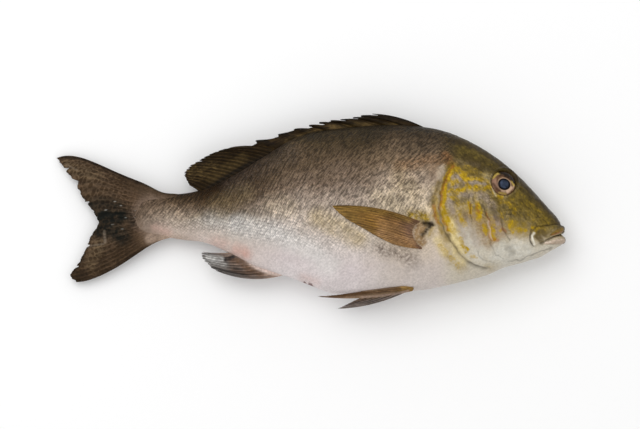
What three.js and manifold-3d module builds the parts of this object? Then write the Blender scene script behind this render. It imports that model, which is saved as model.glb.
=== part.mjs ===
// A whole raw fish, lying on its left side. Millimetres, +X to the snout, +Y to the back, +Z up.
// The fish is laid out by two measures: s, the way back from the snout tip, and
// h, the height above the long axis, the line through the middle of the tail root.

import * as THREE from 'three';
import { mergeVertices } from 'three/addons/utils/BufferGeometryUtils.js';
import Module from 'manifold-3d';

const wasm = await Module();
wasm.setup();

// Driving sizes of the trunk
const bodyLength = 390;
const snoutRound = 9;
const tailRootRound = 14;
const flankHalfWidth = 30;
const keelPinch = 0.13;
const flankBluntness = 2.25;
const ringCount = 44;
const ringSides = 28;
const ringEase = 0.4;
const weldReach = 1e-3;

// The back, the belly and the half width, each as [s, size]
const backLine = [
  [0, -8.5], [12, 4.5], [45, 38.5], [77, 62], [113, 77], [157, 81.5], [207, 78],
  [240, 71.5], [272, 53], [313, 29], [340, 20.5], [375, 17], [390, 15],
];
const bellyLine = [
  [0, -26], [5, -30.5], [24, -39], [72, -54.5], [131, -67.5], [207, -70.5], [234, -62.5],
  [279, -45.5], [304, -33], [326, -24], [342, -22], [375, -17], [390, -15],
];
const widthLine = [
  [0, 0.34], [12, 0.44], [30, 0.58], [52, 0.75], [80, 0.88], [112, 0.96], [160, 1],
  [205, 0.93], [245, 0.77], [285, 0.5], [325, 0.28], [350, 0.2], [375, 0.15], [390, 0.12],
];

// How the fish lies: height of its middle plane, and its sag to the tail tip and to the snout
const restHeight = 28;
const tailSag = 23.5;
const tailSagStart = 190;
const tailSagPower = 1.5;
const fishLength = 459;
const snoutSag = 2.5;
const snoutSagEnd = 90;

// Head
const gillStep = 2.3;
const cheekStep = 1.8;
const plateRun = 34;
const plateDepthShare = 0.4;
const prismDepth = flankHalfWidth * 4;
const eyeS = 56;
const eyeH = 29.5;
const eyeRadius = 12.2;
const eyeHalfDepth = 7.6;
const eyeProud = 3.2;
const eyeGap = 0.35;
const eyeRings = 8;
const orbitRimRadius = 11.4;
const orbitRimThick = 1.5;
const orbitRimFlatness = 0.8;
const orbitRimSides = 6;
const orbitRimSteps = 22;
const upperLipFront = [2.8, -13];
const upperLipCorner = [20, -19];
const lowerLipFront = [2.8, -22];
const lowerLipCorner = [19, -26.5];
const lipThick = 4;
const lipDepth = 3.3;
const lipReach = 12;
const lipTurnAt = 0.25;
const lipTurnReach = 0.75;
const lipSteps = 12;
const lipCurve = 4;
const jawBonePlace = [24, -18.5];
const jawBoneSize = [6, 10, 3.2];
const jawBoneSunk = 1.6;
const jawBoneTilt = -0.12;
const mouthCornerS = 19;
const mouthCornerH = -23;
const mouthFrontH = -17;
const mouthGape = 2.6;
const mouthSlit = 0.5;
const nostrilS = 40;
const nostrilH = 24;
const nostrilRadius = 1.3;
const nostrilDepth = 2;
const nostrilRings = 4;
const rearNostrilStep = [5, 3];
const rearNostrilLong = 1.4;

// Fins
const tailRays = 17;
const spineCount = 12;
const softRays = 15;
const analRays = 9;
const pelvicRays = 6;
const chestRays = 12;
const finEdge = 0.55;
const tailWave = 1.2;
const tailWavePace = 0.06;
const tailWaveSpan = [380, 450];
const softFinLean = 1.5;
const analFinLean = 2;
const rightPelvicOut = 11.5;
const leftPelvicOut = 10;
const chestFinProud = [0.2, -0.4];
const chestRootPlace = [132, -17];
const chestRootSize = [9, 13.5, 4];
const chestRootSunk = 1.2;
const chestRootTilt = 0.05;
const eggRings = 8;

const clamp = THREE.MathUtils.clamp;
const lerp = THREE.MathUtils.lerp;
const smooth = (low, high, value) => THREE.MathUtils.smoothstep(value, low, high);

// A smooth function of s through a few [s, size] points
function lineThrough(points) {
  const last = points.length - 1;
  const slopeAt = (i) => {
    const before = points[Math.max(i - 1, 0)];
    const after = points[Math.min(i + 1, last)];
    return (after[1] - before[1]) / (after[0] - before[0]);
  };
  return (s) => {
    const place = clamp(s, points[0][0], points[last][0]);
    let i = 0;
    while (i < last - 1 && place > points[i + 1][0]) {
      i += 1;
    }
    const span = points[i + 1][0] - points[i][0];
    const t = (place - points[i][0]) / span;
    const start = (1 + 2 * t) * (1 - t) ** 2 * points[i][1] + t * (1 - t) ** 2 * span * slopeAt(i);
    const end = t * t * (3 - 2 * t) * points[i + 1][1] - t * t * (1 - t) * span * slopeAt(i + 1);
    return start + end;
  };
}

const backAt = lineThrough(backLine);
const bellyAt = lineThrough(bellyLine);
const widthAt = lineThrough(widthLine);

// Height of the middle plane at s
function middleZ(s) {
  const back = clamp((s - tailSagStart) / (fishLength - tailSagStart), 0, 1);
  const front = clamp(1 - s / snoutSagEnd, 0, 1);
  return restHeight - tailSag * back ** tailSagPower - snoutSag * front ** 2;
}

// How far the section at s has opened, so that both ends close round
function endFactor(s) {
  const front = clamp(1 - s / snoutRound, 0, 1);
  const rear = clamp((s - bodyLength + tailRootRound) / tailRootRound, 0, 1);
  return Math.sqrt(1 - Math.max(front, rear) ** 2);
}

// The section at s: its middle height, half height and half width, grown outward by grow
function sectionAt(s, grow) {
  const open = endFactor(s);
  return {
    middle: (backAt(s) + bellyAt(s)) / 2,
    halfHeight: open * ((backAt(s) - bellyAt(s)) / 2) + grow * plateDepthShare,
    halfWidth: open * flankHalfWidth * widthAt(s) + grow,
  };
}

// Half width of the flank at a place on the side
function flankZ(s, h) {
  const section = sectionAt(s, 0);
  const up = clamp((h - section.middle) / section.halfHeight, -1, 1);
  const side = (1 - Math.abs(up) ** flankBluntness) ** (1 / flankBluntness);
  return section.halfWidth * side * (1 - keelPinch * up);
}

function toPoint(s, h, side) {
  return new THREE.Vector3(-s, h, middleZ(s) + side);
}

// A closed geometry as a solid, turned the right way out
function toSolid(geometry) {
  const bare = geometry.clone();
  bare.deleteAttribute('normal');
  bare.deleteAttribute('uv');
  const merged = mergeVertices(bare, weldReach);
  const vertProperties = new Float32Array(merged.getAttribute('position').array);
  const triVerts = new Uint32Array(merged.index.array);
  const spot = (i) => new THREE.Vector3().fromArray(vertProperties, triVerts[i] * 3);
  let volume = 0;
  for (let i = 0; i < triVerts.length; i += 3) {
    volume += spot(i).dot(spot(i + 1).cross(spot(i + 2)));
  }
  if (volume < 0) {
    for (let i = 0; i < triVerts.length; i += 3) {
      const kept = triVerts[i];
      triVerts[i] = triVerts[i + 1];
      triVerts[i + 1] = kept;
    }
  }
  return new wasm.Manifold(new wasm.Mesh({ numProp: 3, vertProperties, triVerts }));
}

// Every point of a geometry moved by a rule
function bendGeometry(geometry, rule) {
  const spots = geometry.getAttribute('position');
  for (let i = 0; i < spots.count; i += 1) {
    const moved = rule(new THREE.Vector3().fromBufferAttribute(spots, i));
    spots.setXYZ(i, moved.x, moved.y, moved.z);
  }
  return geometry;
}

// The trunk and head: a sphere whose poles are the snout and the tail root
function trunk(growAt) {
  const ball = new THREE.SphereGeometry(1, ringSides, ringCount);
  bendGeometry(ball, (spot) => {
    const along = Math.acos(clamp(spot.y, -1, 1)) / Math.PI;
    const s = bodyLength * lerp(along, (1 - Math.cos(along * Math.PI)) / 2, ringEase);
    const turn = Math.atan2(spot.z, spot.x);
    const blunt = (value) => Math.sign(value) * Math.abs(value) ** (2 / flankBluntness);
    const up = blunt(Math.cos(turn));
    const out = blunt(Math.sin(turn));
    const section = sectionAt(s, growAt(s));
    const half = section.halfWidth * out * (1 - keelPinch * up);
    const opened = Math.min(endFactor(s) * 1e3, 1);
    return toPoint(s, section.middle + section.halfHeight * up * opened, half * opened);
  });
  return toSolid(ball);
}

// A prism through the whole fish over corners given in its own plane
function prism(corners) {
  const shape = new THREE.Shape(corners);
  const block = new THREE.ExtrudeGeometry(shape, { depth: prismDepth, bevelEnabled: false });
  block.translate(0, 0, -flankHalfWidth);
  return toSolid(block);
}

// The corners of a smooth closed line through a few [s, h] points
function roundOutline(outline) {
  const closed = [...outline, outline[0]].map(([s, h]) => new THREE.Vector2(-s, h));
  return new THREE.SplineCurve(closed).getPoints(outline.length * 4).slice(0, -1);
}

// A bony plate of the head: proud by step at its rear edge and sunk into the head in front
function headPlate(outline, rearS, step) {
  const grown = trunk((s) => step * clamp(1 - (rearS - s) / plateRun, -1, 1));
  return grown.intersect(prism(roundOutline(outline)));
}

function gillCover() {
  const rearS = 118;
  const outline = [
    [101, 46], [113, 33], [rearS, 9], [113, -10], [100, -27], [85, -42], [66, -46],
    [58, -20], [60, 20], [80, 46],
  ];
  return headPlate(outline, rearS, gillStep);
}

function cheekPlate() {
  const rearS = 87;
  const outline = [
    [82, 34], [rearS, 20], [86, -4], [80, -22], [66, -36], [46, -38], [34, -20], [40, 8], [60, 34],
  ];
  return headPlate(outline, rearS, cheekStep);
}

// A lip round the front of the mouth, from one corner to the other
function lip(front, corner) {
  const end = (side) => toPoint(corner[0], corner[1], side * lipReach);
  const turnS = lerp(front[0], corner[0], lipTurnAt);
  const turnH = lerp(front[1], corner[1], lipTurnAt);
  const turn = (side) => toPoint(turnS, turnH, side * lipReach * lipTurnReach);
  const path = new THREE.CatmullRomCurve3(
    [end(1), turn(1), toPoint(front[0], front[1], 0), turn(-1), end(-1)],
  );
  const round = new THREE.Shape();
  round.absellipse(0, 0, lipThick, lipDepth, 0, Math.PI * 2);
  const drawn = { steps: lipSteps, curveSegments: lipCurve, extrudePath: path };
  return toSolid(new THREE.ExtrudeGeometry(round, drawn));
}

// An egg on one flank at [s, h], sunk in by some way and turned by tilt
function egg(place, side, sunk, size, tilt, rings) {
  const ball = new THREE.SphereGeometry(1, rings + 2, rings);
  ball.scale(...size);
  ball.rotateZ(tilt);
  const middle = toPoint(...place, side * (flankZ(...place) - sunk));
  ball.translate(middle.x, middle.y, middle.z);
  return toSolid(ball);
}

// The upper jaw bone at one side of the mouth
function jawBone(side) {
  return egg(jawBonePlace, side, jawBoneSunk, jawBoneSize, jawBoneTilt, eggRings);
}

// The cleft of the mouth: a wedge that opens to the front
function mouthCleft() {
  const outline = [
    [-mouthGape, mouthFrontH + mouthGape], [mouthGape * 2, mouthFrontH + mouthSlit],
    [mouthCornerS, mouthCornerH], [mouthGape * 2, mouthFrontH - mouthSlit],
    [-mouthGape, mouthFrontH - mouthGape],
  ];
  return prism(outline.map(([s, h]) => new THREE.Vector2(-s, h)));
}

// The way that the side of the head faces at the eye
function eyeFacing(side) {
  const step = eyeRadius / 2;
  const alongS = (flankZ(eyeS - step, eyeH) - flankZ(eyeS + step, eyeH)) / (2 * step);
  const alongH = (flankZ(eyeS, eyeH + step) - flankZ(eyeS, eyeH - step)) / (2 * step);
  return new THREE.Vector3(-alongS, -alongH, side).normalize();
}

// The middle of the eyeball at one side
function eyePlace(side) {
  const sunk = eyeProud - eyeHalfDepth;
  return toPoint(eyeS, eyeH, side * flankZ(eyeS, eyeH)).addScaledVector(eyeFacing(side), sunk);
}

// An eyeball, a flattened ball, grown by gap for its socket
function eyeball(side, gap) {
  const ball = new THREE.SphereGeometry(1, eyeRings * 2, eyeRings);
  ball.rotateX(Math.PI / 2);
  ball.scale(eyeRadius + gap, eyeRadius + gap, eyeHalfDepth + gap);
  const up = new THREE.Vector3(0, 0, 1);
  ball.applyQuaternion(new THREE.Quaternion().setFromUnitVectors(up, eyeFacing(side)));
  const place = eyePlace(side);
  ball.translate(place.x, place.y, place.z);
  return toSolid(ball);
}

// The raised rim of the orbit
function orbitRim(side) {
  const ring = new THREE.TorusGeometry(orbitRimRadius, orbitRimThick, orbitRimSides, orbitRimSteps);
  bendGeometry(ring, (spot) => {
    const s = eyeS - spot.x;
    const h = eyeH + spot.y;
    return toPoint(s, h, side * (flankZ(s, h) + spot.z * orbitRimFlatness));
  });
  return toSolid(ring);
}

// A fin: a thin plate whose rays fan from its root line to its tip line.
// root and tips give [s, h] at u, from the first ray to the last, and middle gives the plate's z.
function rayFin(fin) {
  const plate = new THREE.BoxGeometry(1, 1, 1, fin.rays * 2, fin.steps, 1);
  bendGeometry(plate, (spot) => {
    const u = spot.x + 0.5;
    const v = spot.y + 0.5;
    const face = spot.z * 2;
    const onRay = (1 + Math.cos(u * fin.rays * Math.PI * 2)) / 2;
    const reach = v * (1 - fin.notch * (1 - onRay));
    const root = fin.root(u);
    const tip = fin.tips(u);
    const bow = 4 * reach ** fin.bowLean * (1 - reach) * lerp(fin.bow[0], fin.bow[1], u);
    const s = lerp(root[0], tip[0], reach) + bow * fin.bowTo[0];
    const h = lerp(root[1], tip[1], reach) + bow * fin.bowTo[1];
    const thick = lerp(fin.thick[0], fin.thick[1], reach) * lerp(finEdge, 1, onRay);
    return new THREE.Vector3(-s, h, fin.middle(s, h, reach) + face * thick / 2);
  });
  return toSolid(plate);
}

// [s, h] along a smooth line through a few points, as a function of u
function pathThrough(points) {
  const curve = new THREE.SplineCurve(points.map(([s, h]) => new THREE.Vector2(s, h)));
  return (u) => curve.getPoint(clamp(u, 0, 1)).toArray();
}

function tailFin() {
  return rayFin({
    rays: tailRays,
    steps: 9,
    root: pathThrough([[350, 18], [362, 0], [350, -19]]),
    tips: pathThrough([
      [458.5, 51.5], [451, 39], [442, 26], [432, 12], [421, -5], [426, -15], [431, -27],
      [438, -42], [445, -55], [441, -61],
    ]),
    bow: [9, -6],
    bowLean: 2,
    bowTo: [0, 1],
    notch: 0.035,
    thick: [7, 1.3],
    middle: (s, h) => middleZ(s) + tailWave * Math.sin(h * tailWavePace) * smooth(...tailWaveSpan, s),
  });
}

// The spiny front part of the back fin, folded down
function spinyFin() {
  return rayFin({
    rays: spineCount,
    steps: 5,
    root: pathThrough([[112, 70], [160, 73], [210, 69], [262, 51]]),
    tips: pathThrough([[177, 90.5], [198, 85.5], [223, 82], [251, 74.5], [300, 61.5]]),
    bow: [5.5, 1],
    bowLean: 1,
    bowTo: [0, 1],
    notch: 0.1,
    thick: [6.5, 2],
    middle: (s) => middleZ(s),
  });
}

// The soft rear part of the back fin
function softFin() {
  return rayFin({
    rays: softRays,
    steps: 5,
    root: pathThrough([[252, 56], [288, 38], [326, 18]]),
    tips: pathThrough([[303, 60.5], [322, 54], [338, 44.5], [343, 37], [339, 27.5]]),
    bow: [4, 1],
    bowLean: 1,
    bowTo: [0.2, 1],
    notch: 0.04,
    thick: [6, 1.8],
    middle: (s, h, reach) => middleZ(s) + softFinLean * reach,
  });
}

function analFin() {
  return rayFin({
    rays: analRays,
    steps: 5,
    root: pathThrough([[246, -51], [275, -43], [298, -33]]),
    tips: pathThrough([[318, -47.5], [325, -42], [329, -36], [327, -32.5]]),
    bow: [-7.5, -1],
    bowLean: 1,
    bowTo: [0, 1],
    notch: 0.05,
    thick: [6, 1.6],
    middle: (s, h, reach) => middleZ(s) + analFinLean * reach,
  });
}

// A pelvic fin trailing under the belly, the right one nearer the top
function pelvicFin(side, root, tips, out) {
  return rayFin({
    rays: pelvicRays,
    steps: 8,
    root: pathThrough(root),
    tips: pathThrough(tips),
    bow: [-5, -1],
    bowLean: 1,
    bowTo: [0, 1],
    notch: 0.05,
    thick: [5, 1.4],
    middle: (s) => middleZ(s) + side * out,
  });
}

function rightPelvic() {
  const root = [[130, -65], [148, -60]];
  const tips = [[226, -73.5], [212, -71], [194, -67]];
  return pelvicFin(1, root, tips, rightPelvicOut);
}

function leftPelvic() {
  const root = [[132, -65], [150, -58]];
  const tips = [[207, -84], [200, -81], [188, -75.5]];
  return pelvicFin(-1, root, tips, leftPelvicOut);
}

// A chest fin laid back along the flank, with its fleshy root
function chestFin(side) {
  const onFlank = (s, h, reach) => flankZ(s, h) + lerp(...chestFinProud, reach);
  const blade = rayFin({
    rays: chestRays,
    steps: 6,
    root: pathThrough([[131, -4], [134, -16], [132, -29]]),
    tips: pathThrough([[195, 9], [210, 7.5], [199, -1], [182, -9], [164, -19], [147, -26]]),
    bow: [2.5, -1.5],
    bowLean: 1,
    bowTo: [0, 1],
    notch: 0.03,
    thick: [5, 3.2],
    middle: (s, h, reach) => middleZ(s) + side * onFlank(s, h, reach),
  });
  const fleshyRoot = egg(chestRootPlace, side, chestRootSunk, chestRootSize, chestRootTilt, eggRings);
  return blade.add(fleshyRoot);
}

// Two small openings of the nose at one side
function nostrils(side) {
  const hole = (place, long) => {
    const size = [nostrilRadius * long, nostrilRadius, nostrilDepth];
    return egg(place, side, 0, size, 0, nostrilRings);
  };
  const rearPlace = [nostrilS + rearNostrilStep[0], nostrilH + rearNostrilStep[1]];
  return hole([nostrilS, nostrilH], 1).add(hole(rearPlace, rearNostrilLong));
}

// All below the plane that the fish lies on, taken away so that it rests on a flat place
function underFloor() {
  const block = new THREE.BoxGeometry(fishLength * 2, fishLength, flankHalfWidth * 2);
  block.translate(-fishLength / 2, 0, -flankHalfWidth);
  return toSolid(block);
}

function wholeFish() {
  const sides = [1, -1];
  let fish = trunk(() => 0);
  const fused = [
    gillCover(),
    cheekPlate(),
    tailFin(),
    spinyFin(),
    softFin(),
    analFin(),
    rightPelvic(),
    leftPelvic(),
    lip(upperLipFront, upperLipCorner),
    lip(lowerLipFront, lowerLipCorner),
    ...sides.map(chestFin),
    ...sides.map(jawBone),
    ...sides.map(orbitRim),
  ];
  for (const piece of fused) {
    fish = fish.add(piece);
  }
  const cut = [
    mouthCleft(),
    underFloor(),
    ...sides.map(nostrils),
    ...sides.map((side) => eyeball(side, eyeGap)),
  ];
  for (const piece of cut) {
    fish = fish.subtract(piece);
  }
  return fish;
}

// A solid as a named mesh
function toMesh(solid, name, material) {
  const shape = solid.getMesh();
  const spots = new Float32Array(shape.vertProperties);
  const geometry = new THREE.BufferGeometry();
  geometry.setAttribute('position', new THREE.BufferAttribute(spots, 3));
  geometry.setIndex(new THREE.BufferAttribute(new Uint32Array(shape.triVerts), 1));
  geometry.computeVertexNormals();
  const mesh = new THREE.Mesh(geometry, material);
  mesh.name = name;
  return mesh;
}

const skin = new THREE.MeshStandardMaterial({ color: 0x94817a, roughness: 0.38, metalness: 0.05 });
const eye = new THREE.MeshStandardMaterial({ color: 0x4b3b36, roughness: 0.12, metalness: 0 });

const fishGroup = new THREE.Group();
fishGroup.add(toMesh(wholeFish(), 'fish', skin));
fishGroup.add(toMesh(eyeball(1, 0), 'eye_right', eye));
fishGroup.add(toMesh(eyeball(-1, 0), 'eye_left', eye));

// The origin goes under the middle of the fish, on the plane that it lies on
const reach = new THREE.Box3().setFromObject(fishGroup);
const middle = reach.getCenter(new THREE.Vector3());
for (const mesh of fishGroup.children) {
  mesh.position.set(-middle.x, -middle.y, -reach.min.z);
}

export default fishGroup;
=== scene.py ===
import math

import bpy
import numpy as np
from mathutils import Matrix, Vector


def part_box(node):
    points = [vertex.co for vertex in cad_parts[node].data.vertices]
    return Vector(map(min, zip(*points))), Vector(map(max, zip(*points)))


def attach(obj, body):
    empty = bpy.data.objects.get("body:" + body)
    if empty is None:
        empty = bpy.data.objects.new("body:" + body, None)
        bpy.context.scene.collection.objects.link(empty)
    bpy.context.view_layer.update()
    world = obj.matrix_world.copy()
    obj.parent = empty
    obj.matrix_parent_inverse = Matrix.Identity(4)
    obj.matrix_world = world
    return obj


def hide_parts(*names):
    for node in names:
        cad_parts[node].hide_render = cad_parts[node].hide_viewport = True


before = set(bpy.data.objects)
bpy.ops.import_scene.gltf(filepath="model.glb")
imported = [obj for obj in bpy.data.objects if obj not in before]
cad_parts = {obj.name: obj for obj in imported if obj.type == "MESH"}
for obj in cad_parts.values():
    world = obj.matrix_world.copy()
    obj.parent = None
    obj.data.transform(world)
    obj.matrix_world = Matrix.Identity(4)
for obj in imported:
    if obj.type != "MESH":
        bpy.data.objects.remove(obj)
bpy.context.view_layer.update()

cadLow, cadHigh = [Vector(corner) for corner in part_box("fish")]

# Places on the fish are given in millimetres by s, the way back from the snout tip,
# and h, the height above the long axis. The frame's corners put them in the scene.
mm = 0.001
snoutX = cadHigh.x - 0.98 * mm
axisY = cadLow.y + 84.0 * mm

lie = {
    "restHeight": 28,
    "tailSag": 23.5,
    "tailSagStart": 190,
    "tailSagPower": 1.5,
    "fishLength": 459,
    "snoutSag": 2.5,
    "snoutSagEnd": 90,
}

trunk = {
    "length": 390,
    "snoutRound": 9,
    "snoutTaper": 17,
    "tailRootRound": 14,
    "halfWidth": 30,
    "keelPinch": 0.13,
    "bluntness": 2.25,
    "back": [[0, -10.3], [12, 3.0], [45, 38], [77, 61.5], [113, 77], [157, 81.5], [207, 78],
             [240, 71.5], [272, 53], [313, 29], [340, 20.5], [375, 17], [390, 15]],
    "belly": [[0, -25], [5, -28], [12, -31.2], [24, -37.6], [44, -43.6], [56, -47], [70, -53.2], [90, -58.6],
              [131, -67.2], [207, -70.5], [232, -62], [246, -56.5], [279, -45.5], [304, -33], [326, -24],
              [342, -22], [375, -17], [390, -15]],
    "width": [[0, 0.34], [12, 0.44], [30, 0.58], [52, 0.75], [80, 0.88], [112, 0.96], [160, 1],
              [205, 0.93], [245, 0.77], [285, 0.5], [325, 0.28], [350, 0.2], [375, 0.13], [390, 0.07]],
    "sides": 32,
    "headRings": 22,
    "headEnd": 126,
    "trunkRings": 22,
    "smoothing": 3,
}


def smooth(low, high, value):
    t = np.clip((value - low) / (high - low), 0, 1)
    return t * t * (3 - 2 * t)


def mix(first, second, amount):
    return first + (second - first) * amount


def lineThrough(points):
    # A smooth function of place through a few [place, size] points
    places = np.array([point[0] for point in points], float)
    sizes = np.array([point[1] for point in points], float)
    before = np.maximum(np.arange(len(points)) - 1, 0)
    after = np.minimum(np.arange(len(points)) + 1, len(points) - 1)
    slopes = (sizes[after] - sizes[before]) / (places[after] - places[before])

    def sizeAt(place):
        place = np.clip(place, places[0], places[-1])
        i = np.clip(np.searchsorted(places, place) - 1, 0, len(points) - 2)
        span = places[i + 1] - places[i]
        t = (place - places[i]) / span
        start = (1 + 2 * t) * (1 - t) ** 2 * sizes[i] + t * (1 - t) ** 2 * span * slopes[i]
        return start + t * t * (3 - 2 * t) * sizes[i + 1] - t * t * (1 - t) * span * slopes[i + 1]

    return sizeAt


def pathThrough(points, steps=12):
    # A smooth open line through a few [s, h] points, as many short straight steps
    spots = np.array(points, float)
    padded = np.vstack([2 * spots[0] - spots[1], spots, 2 * spots[-1] - spots[-2]])
    line = []
    for i in range(len(spots) - 1):
        a, b, c, d = padded[i:i + 4]
        t = np.linspace(0, 1, steps, endpoint=False)[:, None]
        line.append(0.5 * (2 * b + (c - a) * t + (2 * a - 5 * b + 4 * c - d) * t ** 2
                           + (3 * b - a - 3 * c + d) * t ** 3))
    return np.vstack([*line, spots[-1:]])


def alongPath(points):
    # The same line as a function of u, from 0 at its start to 1 at its end
    line = pathThrough(points)
    share = np.linspace(0, 1, len(line))
    return lambda u: (np.interp(u, share, line[:, 0]), np.interp(u, share, line[:, 1]))


def toLine(s, h, points, steps=8):
    # The distance of places to a line, more than 0 on its right hand, and how far along it they lie
    line = pathThrough(points, steps)
    best = np.full(s.shape, 1e9)
    side = np.ones(s.shape)
    share = np.zeros(s.shape)
    for i in range(len(line) - 1):
        start, run = line[i], line[i + 1] - line[i]
        t = np.clip(((s - start[0]) * run[0] + (h - start[1]) * run[1]) / (run @ run), 0, 1)
        ds, dh = s - start[0] - t * run[0], h - start[1] - t * run[1]
        away = np.hypot(ds, dh)
        nearer = away < best
        best = np.where(nearer, away, best)
        side = np.where(nearer, np.sign(run[1] * ds - run[0] * dh), side)
        share = np.where(nearer, (i + t) / (len(line) - 1), share)
    return best, side * best, share


backAt = lineThrough(trunk["back"])
bellyAt = lineThrough(trunk["belly"])
widthAt = lineThrough(trunk["width"])


def middleZ(s):
    rear = np.clip((s - lie["tailSagStart"]) / (lie["fishLength"] - lie["tailSagStart"]), 0, 1)
    front = np.clip(1 - s / lie["snoutSagEnd"], 0, 1)
    return lie["restHeight"] - lie["tailSag"] * rear ** lie["tailSagPower"] - lie["snoutSag"] * front ** 2


def openAt(s):
    front = np.clip(1 - s / trunk["snoutRound"], 0, 1)
    rear = np.clip((s - trunk["length"] + trunk["tailRootRound"]) / trunk["tailRootRound"], 0, 1)
    return np.sqrt(1 - np.maximum(front, rear) ** 2)


def sectionAt(s):
    opened = openAt(s)
    taper = np.sqrt(1 - np.clip(1 - s / trunk["snoutTaper"], 0, 1) ** 2)
    middle, halfHeight = (backAt(s) + bellyAt(s)) / 2, opened * (backAt(s) - bellyAt(s)) / 2
    return middle, halfHeight, np.minimum(opened, taper) * trunk["halfWidth"] * widthAt(s)


def flankZ(s, h):
    # How far the flank stands out from the middle plane
    middle, halfHeight, halfWidth = sectionAt(s)
    up = np.clip((h - middle) / np.maximum(halfHeight, 0.01), -1, 1)
    roundness = (1 - np.abs(up) ** trunk["bluntness"]) ** (1 / trunk["bluntness"])
    return halfWidth * roundness * (1 - trunk["keelPinch"] * up)


def bodyPoint(s, turn):
    # A point of the bare body; turn runs from the back over the right side to the belly
    middle, halfHeight, halfWidth = sectionAt(s)
    power = 2 / trunk["bluntness"]
    up = np.sign(np.cos(turn)) * np.abs(np.cos(turn)) ** power
    out = np.sign(np.sin(turn)) * np.abs(np.sin(turn)) ** power
    side = halfWidth * out * (1 - trunk["keelPinch"] * up)
    return np.stack([-s, middle + halfHeight * up, middleZ(s) + side], axis=-1)


def toScene(points):
    # Fish millimetres to scene metres
    return points * mm + np.array([snoutX, axisY, 0])


def makeOnly(piece):
    bpy.ops.object.select_all(action="DESELECT")
    piece.select_set(True)
    bpy.context.view_layer.objects.active = piece


def readPoints(piece):
    flat = np.empty(len(piece.data.vertices) * 3)
    piece.data.vertices.foreach_get("co", flat)
    return flat.reshape(-1, 3)


def writePoints(piece, points):
    piece.data.vertices.foreach_set("co", np.ascontiguousarray(points, float).ravel())
    piece.data.update()


def paint(piece, name, values):
    # A value or a triple for each point of a piece, which its material reads
    values = np.asarray(values, float)
    form = "FLOAT_VECTOR" if values.ndim == 2 else "FLOAT"
    layer = piece.data.attributes.new(name, form, "POINT")
    layer.data.foreach_set("vector" if values.ndim == 2 else "value", values.ravel())


def leaveEdit():
    # Every face is turned outwards before edit mode ends
    bpy.ops.mesh.select_all(action="SELECT")
    bpy.ops.mesh.normals_make_consistent(inside=False)
    bpy.ops.object.mode_set(mode="OBJECT")


def finishModifiers(piece):
    makeOnly(piece)
    for modifier in list(piece.modifiers):
        bpy.ops.object.modifier_apply(modifier=modifier.name)


def settle(piece, material, nodeName):
    # The piece's place goes into its mesh, and it stands for the fish or an eye
    makeOnly(piece)
    bpy.ops.object.transform_apply(location=True, rotation=True, scale=True)
    points = readPoints(piece)
    points[:, 2] = np.maximum(points[:, 2], 0)
    writePoints(piece, points)
    bpy.ops.object.shade_smooth()
    piece.data.materials.clear()
    piece.data.materials.append(material)
    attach(piece, "root")
    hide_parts(nodeName)


# Materials

def newMaterial(name):
    material = bpy.data.materials.new(name)
    material.use_nodes = True
    nodes = material.node_tree.nodes
    for spare in [each for each in nodes if each.type not in ("BSDF_PRINCIPLED", "OUTPUT_MATERIAL")]:
        nodes.remove(spare)
    return material, material.node_tree, nodes["Principled BSDF"]


def colour(red, green, blue):
    # A colour as a screen shows it, 0 to 255, as the light it gives back
    def light(value):
        value /= 255
        return value / 12.92 if value <= 0.04045 else ((value + 0.055) / 1.055) ** 2.4
    return (light(red), light(green), light(blue), 1)


def node(tree, kind, settings=None, inputs=None):
    made = tree.nodes.new(kind)
    for key, value in (settings or {}).items():
        setattr(made, key, value)
    for key, value in (inputs or {}).items():
        if isinstance(value, bpy.types.NodeSocket):
            tree.links.new(value, made.inputs[key])
        else:
            made.inputs[key].default_value = value
    return made


def read(tree, name, form="Fac"):
    return node(tree, "ShaderNodeAttribute", {"attribute_name": name}).outputs[form]


def maths(tree, operation, first, second=0.0, clamp=False):
    made = node(tree, "ShaderNodeMath", {"operation": operation, "use_clamp": clamp}, {0: first, 1: second})
    return made.outputs[0]


def times(tree, first, second, clamp=False):
    return maths(tree, "MULTIPLY", first, second, clamp)


def span(tree, value, low, high, toLow=0.0, toHigh=1.0):
    made = node(tree, "ShaderNodeMapRange", {"interpolation_type": "SMOOTHSTEP"},
                {0: value, 1: low, 2: high, 3: toLow, 4: toHigh})
    return made.outputs[0]


def ramp(tree, value, stops):
    made = node(tree, "ShaderNodeValToRGB", None, {0: value})
    band = made.color_ramp
    while len(band.elements) < len(stops):
        band.elements.new(0.5)
    for element, (place, shade) in zip(band.elements, stops):
        element.position = place
        element.color = colour(*shade)
    return made.outputs[0]


def blendColour(tree, amount, first, second, way="MIX"):
    made = node(tree, "ShaderNodeMix", {"data_type": "RGBA", "blend_type": way},
                {0: amount, 6: first, 7: second})
    return made.outputs[2]


def grey(tree, value):
    return node(tree, "ShaderNodeCombineColor", None, {0: value, 1: value, 2: value}).outputs[0]


def shaded(tree, base, value, amount=None):
    # A colour made darker or lighter by a factor, wholly or by an amount
    dimmed = blendColour(tree, 1.0, base, grey(tree, value), "MULTIPLY")
    return dimmed if amount is None else blendColour(tree, amount, base, dimmed)


def noise(tree, where, scale, detail=3.0, rough=0.5, distortion=0.0):
    made = node(tree, "ShaderNodeTexNoise", None, {
        "Vector": where, "Scale": scale, "Detail": detail, "Roughness": rough, "Distortion": distortion})
    return made.outputs[0]


def stretch(tree, where, size, turn=0.0):
    # A pattern place turned first and then scaled, so that it can be drawn out aslant
    turned = node(tree, "ShaderNodeMapping", None, {0: where, 2: (0, 0, turn)}).outputs[0]
    return node(tree, "ShaderNodeMapping", None, {0: turned, 3: size}).outputs[0]


def objectPlace(tree):
    return node(tree, "ShaderNodeTexCoord").outputs["Object"]


def bump(tree, height, distance, strength=1.0, before=None):
    inputs = {"Height": height, "Distance": distance, "Strength": strength}
    if before is not None:
        inputs["Normal"] = before
    return node(tree, "ShaderNodeBump", None, inputs).outputs[0]


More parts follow.
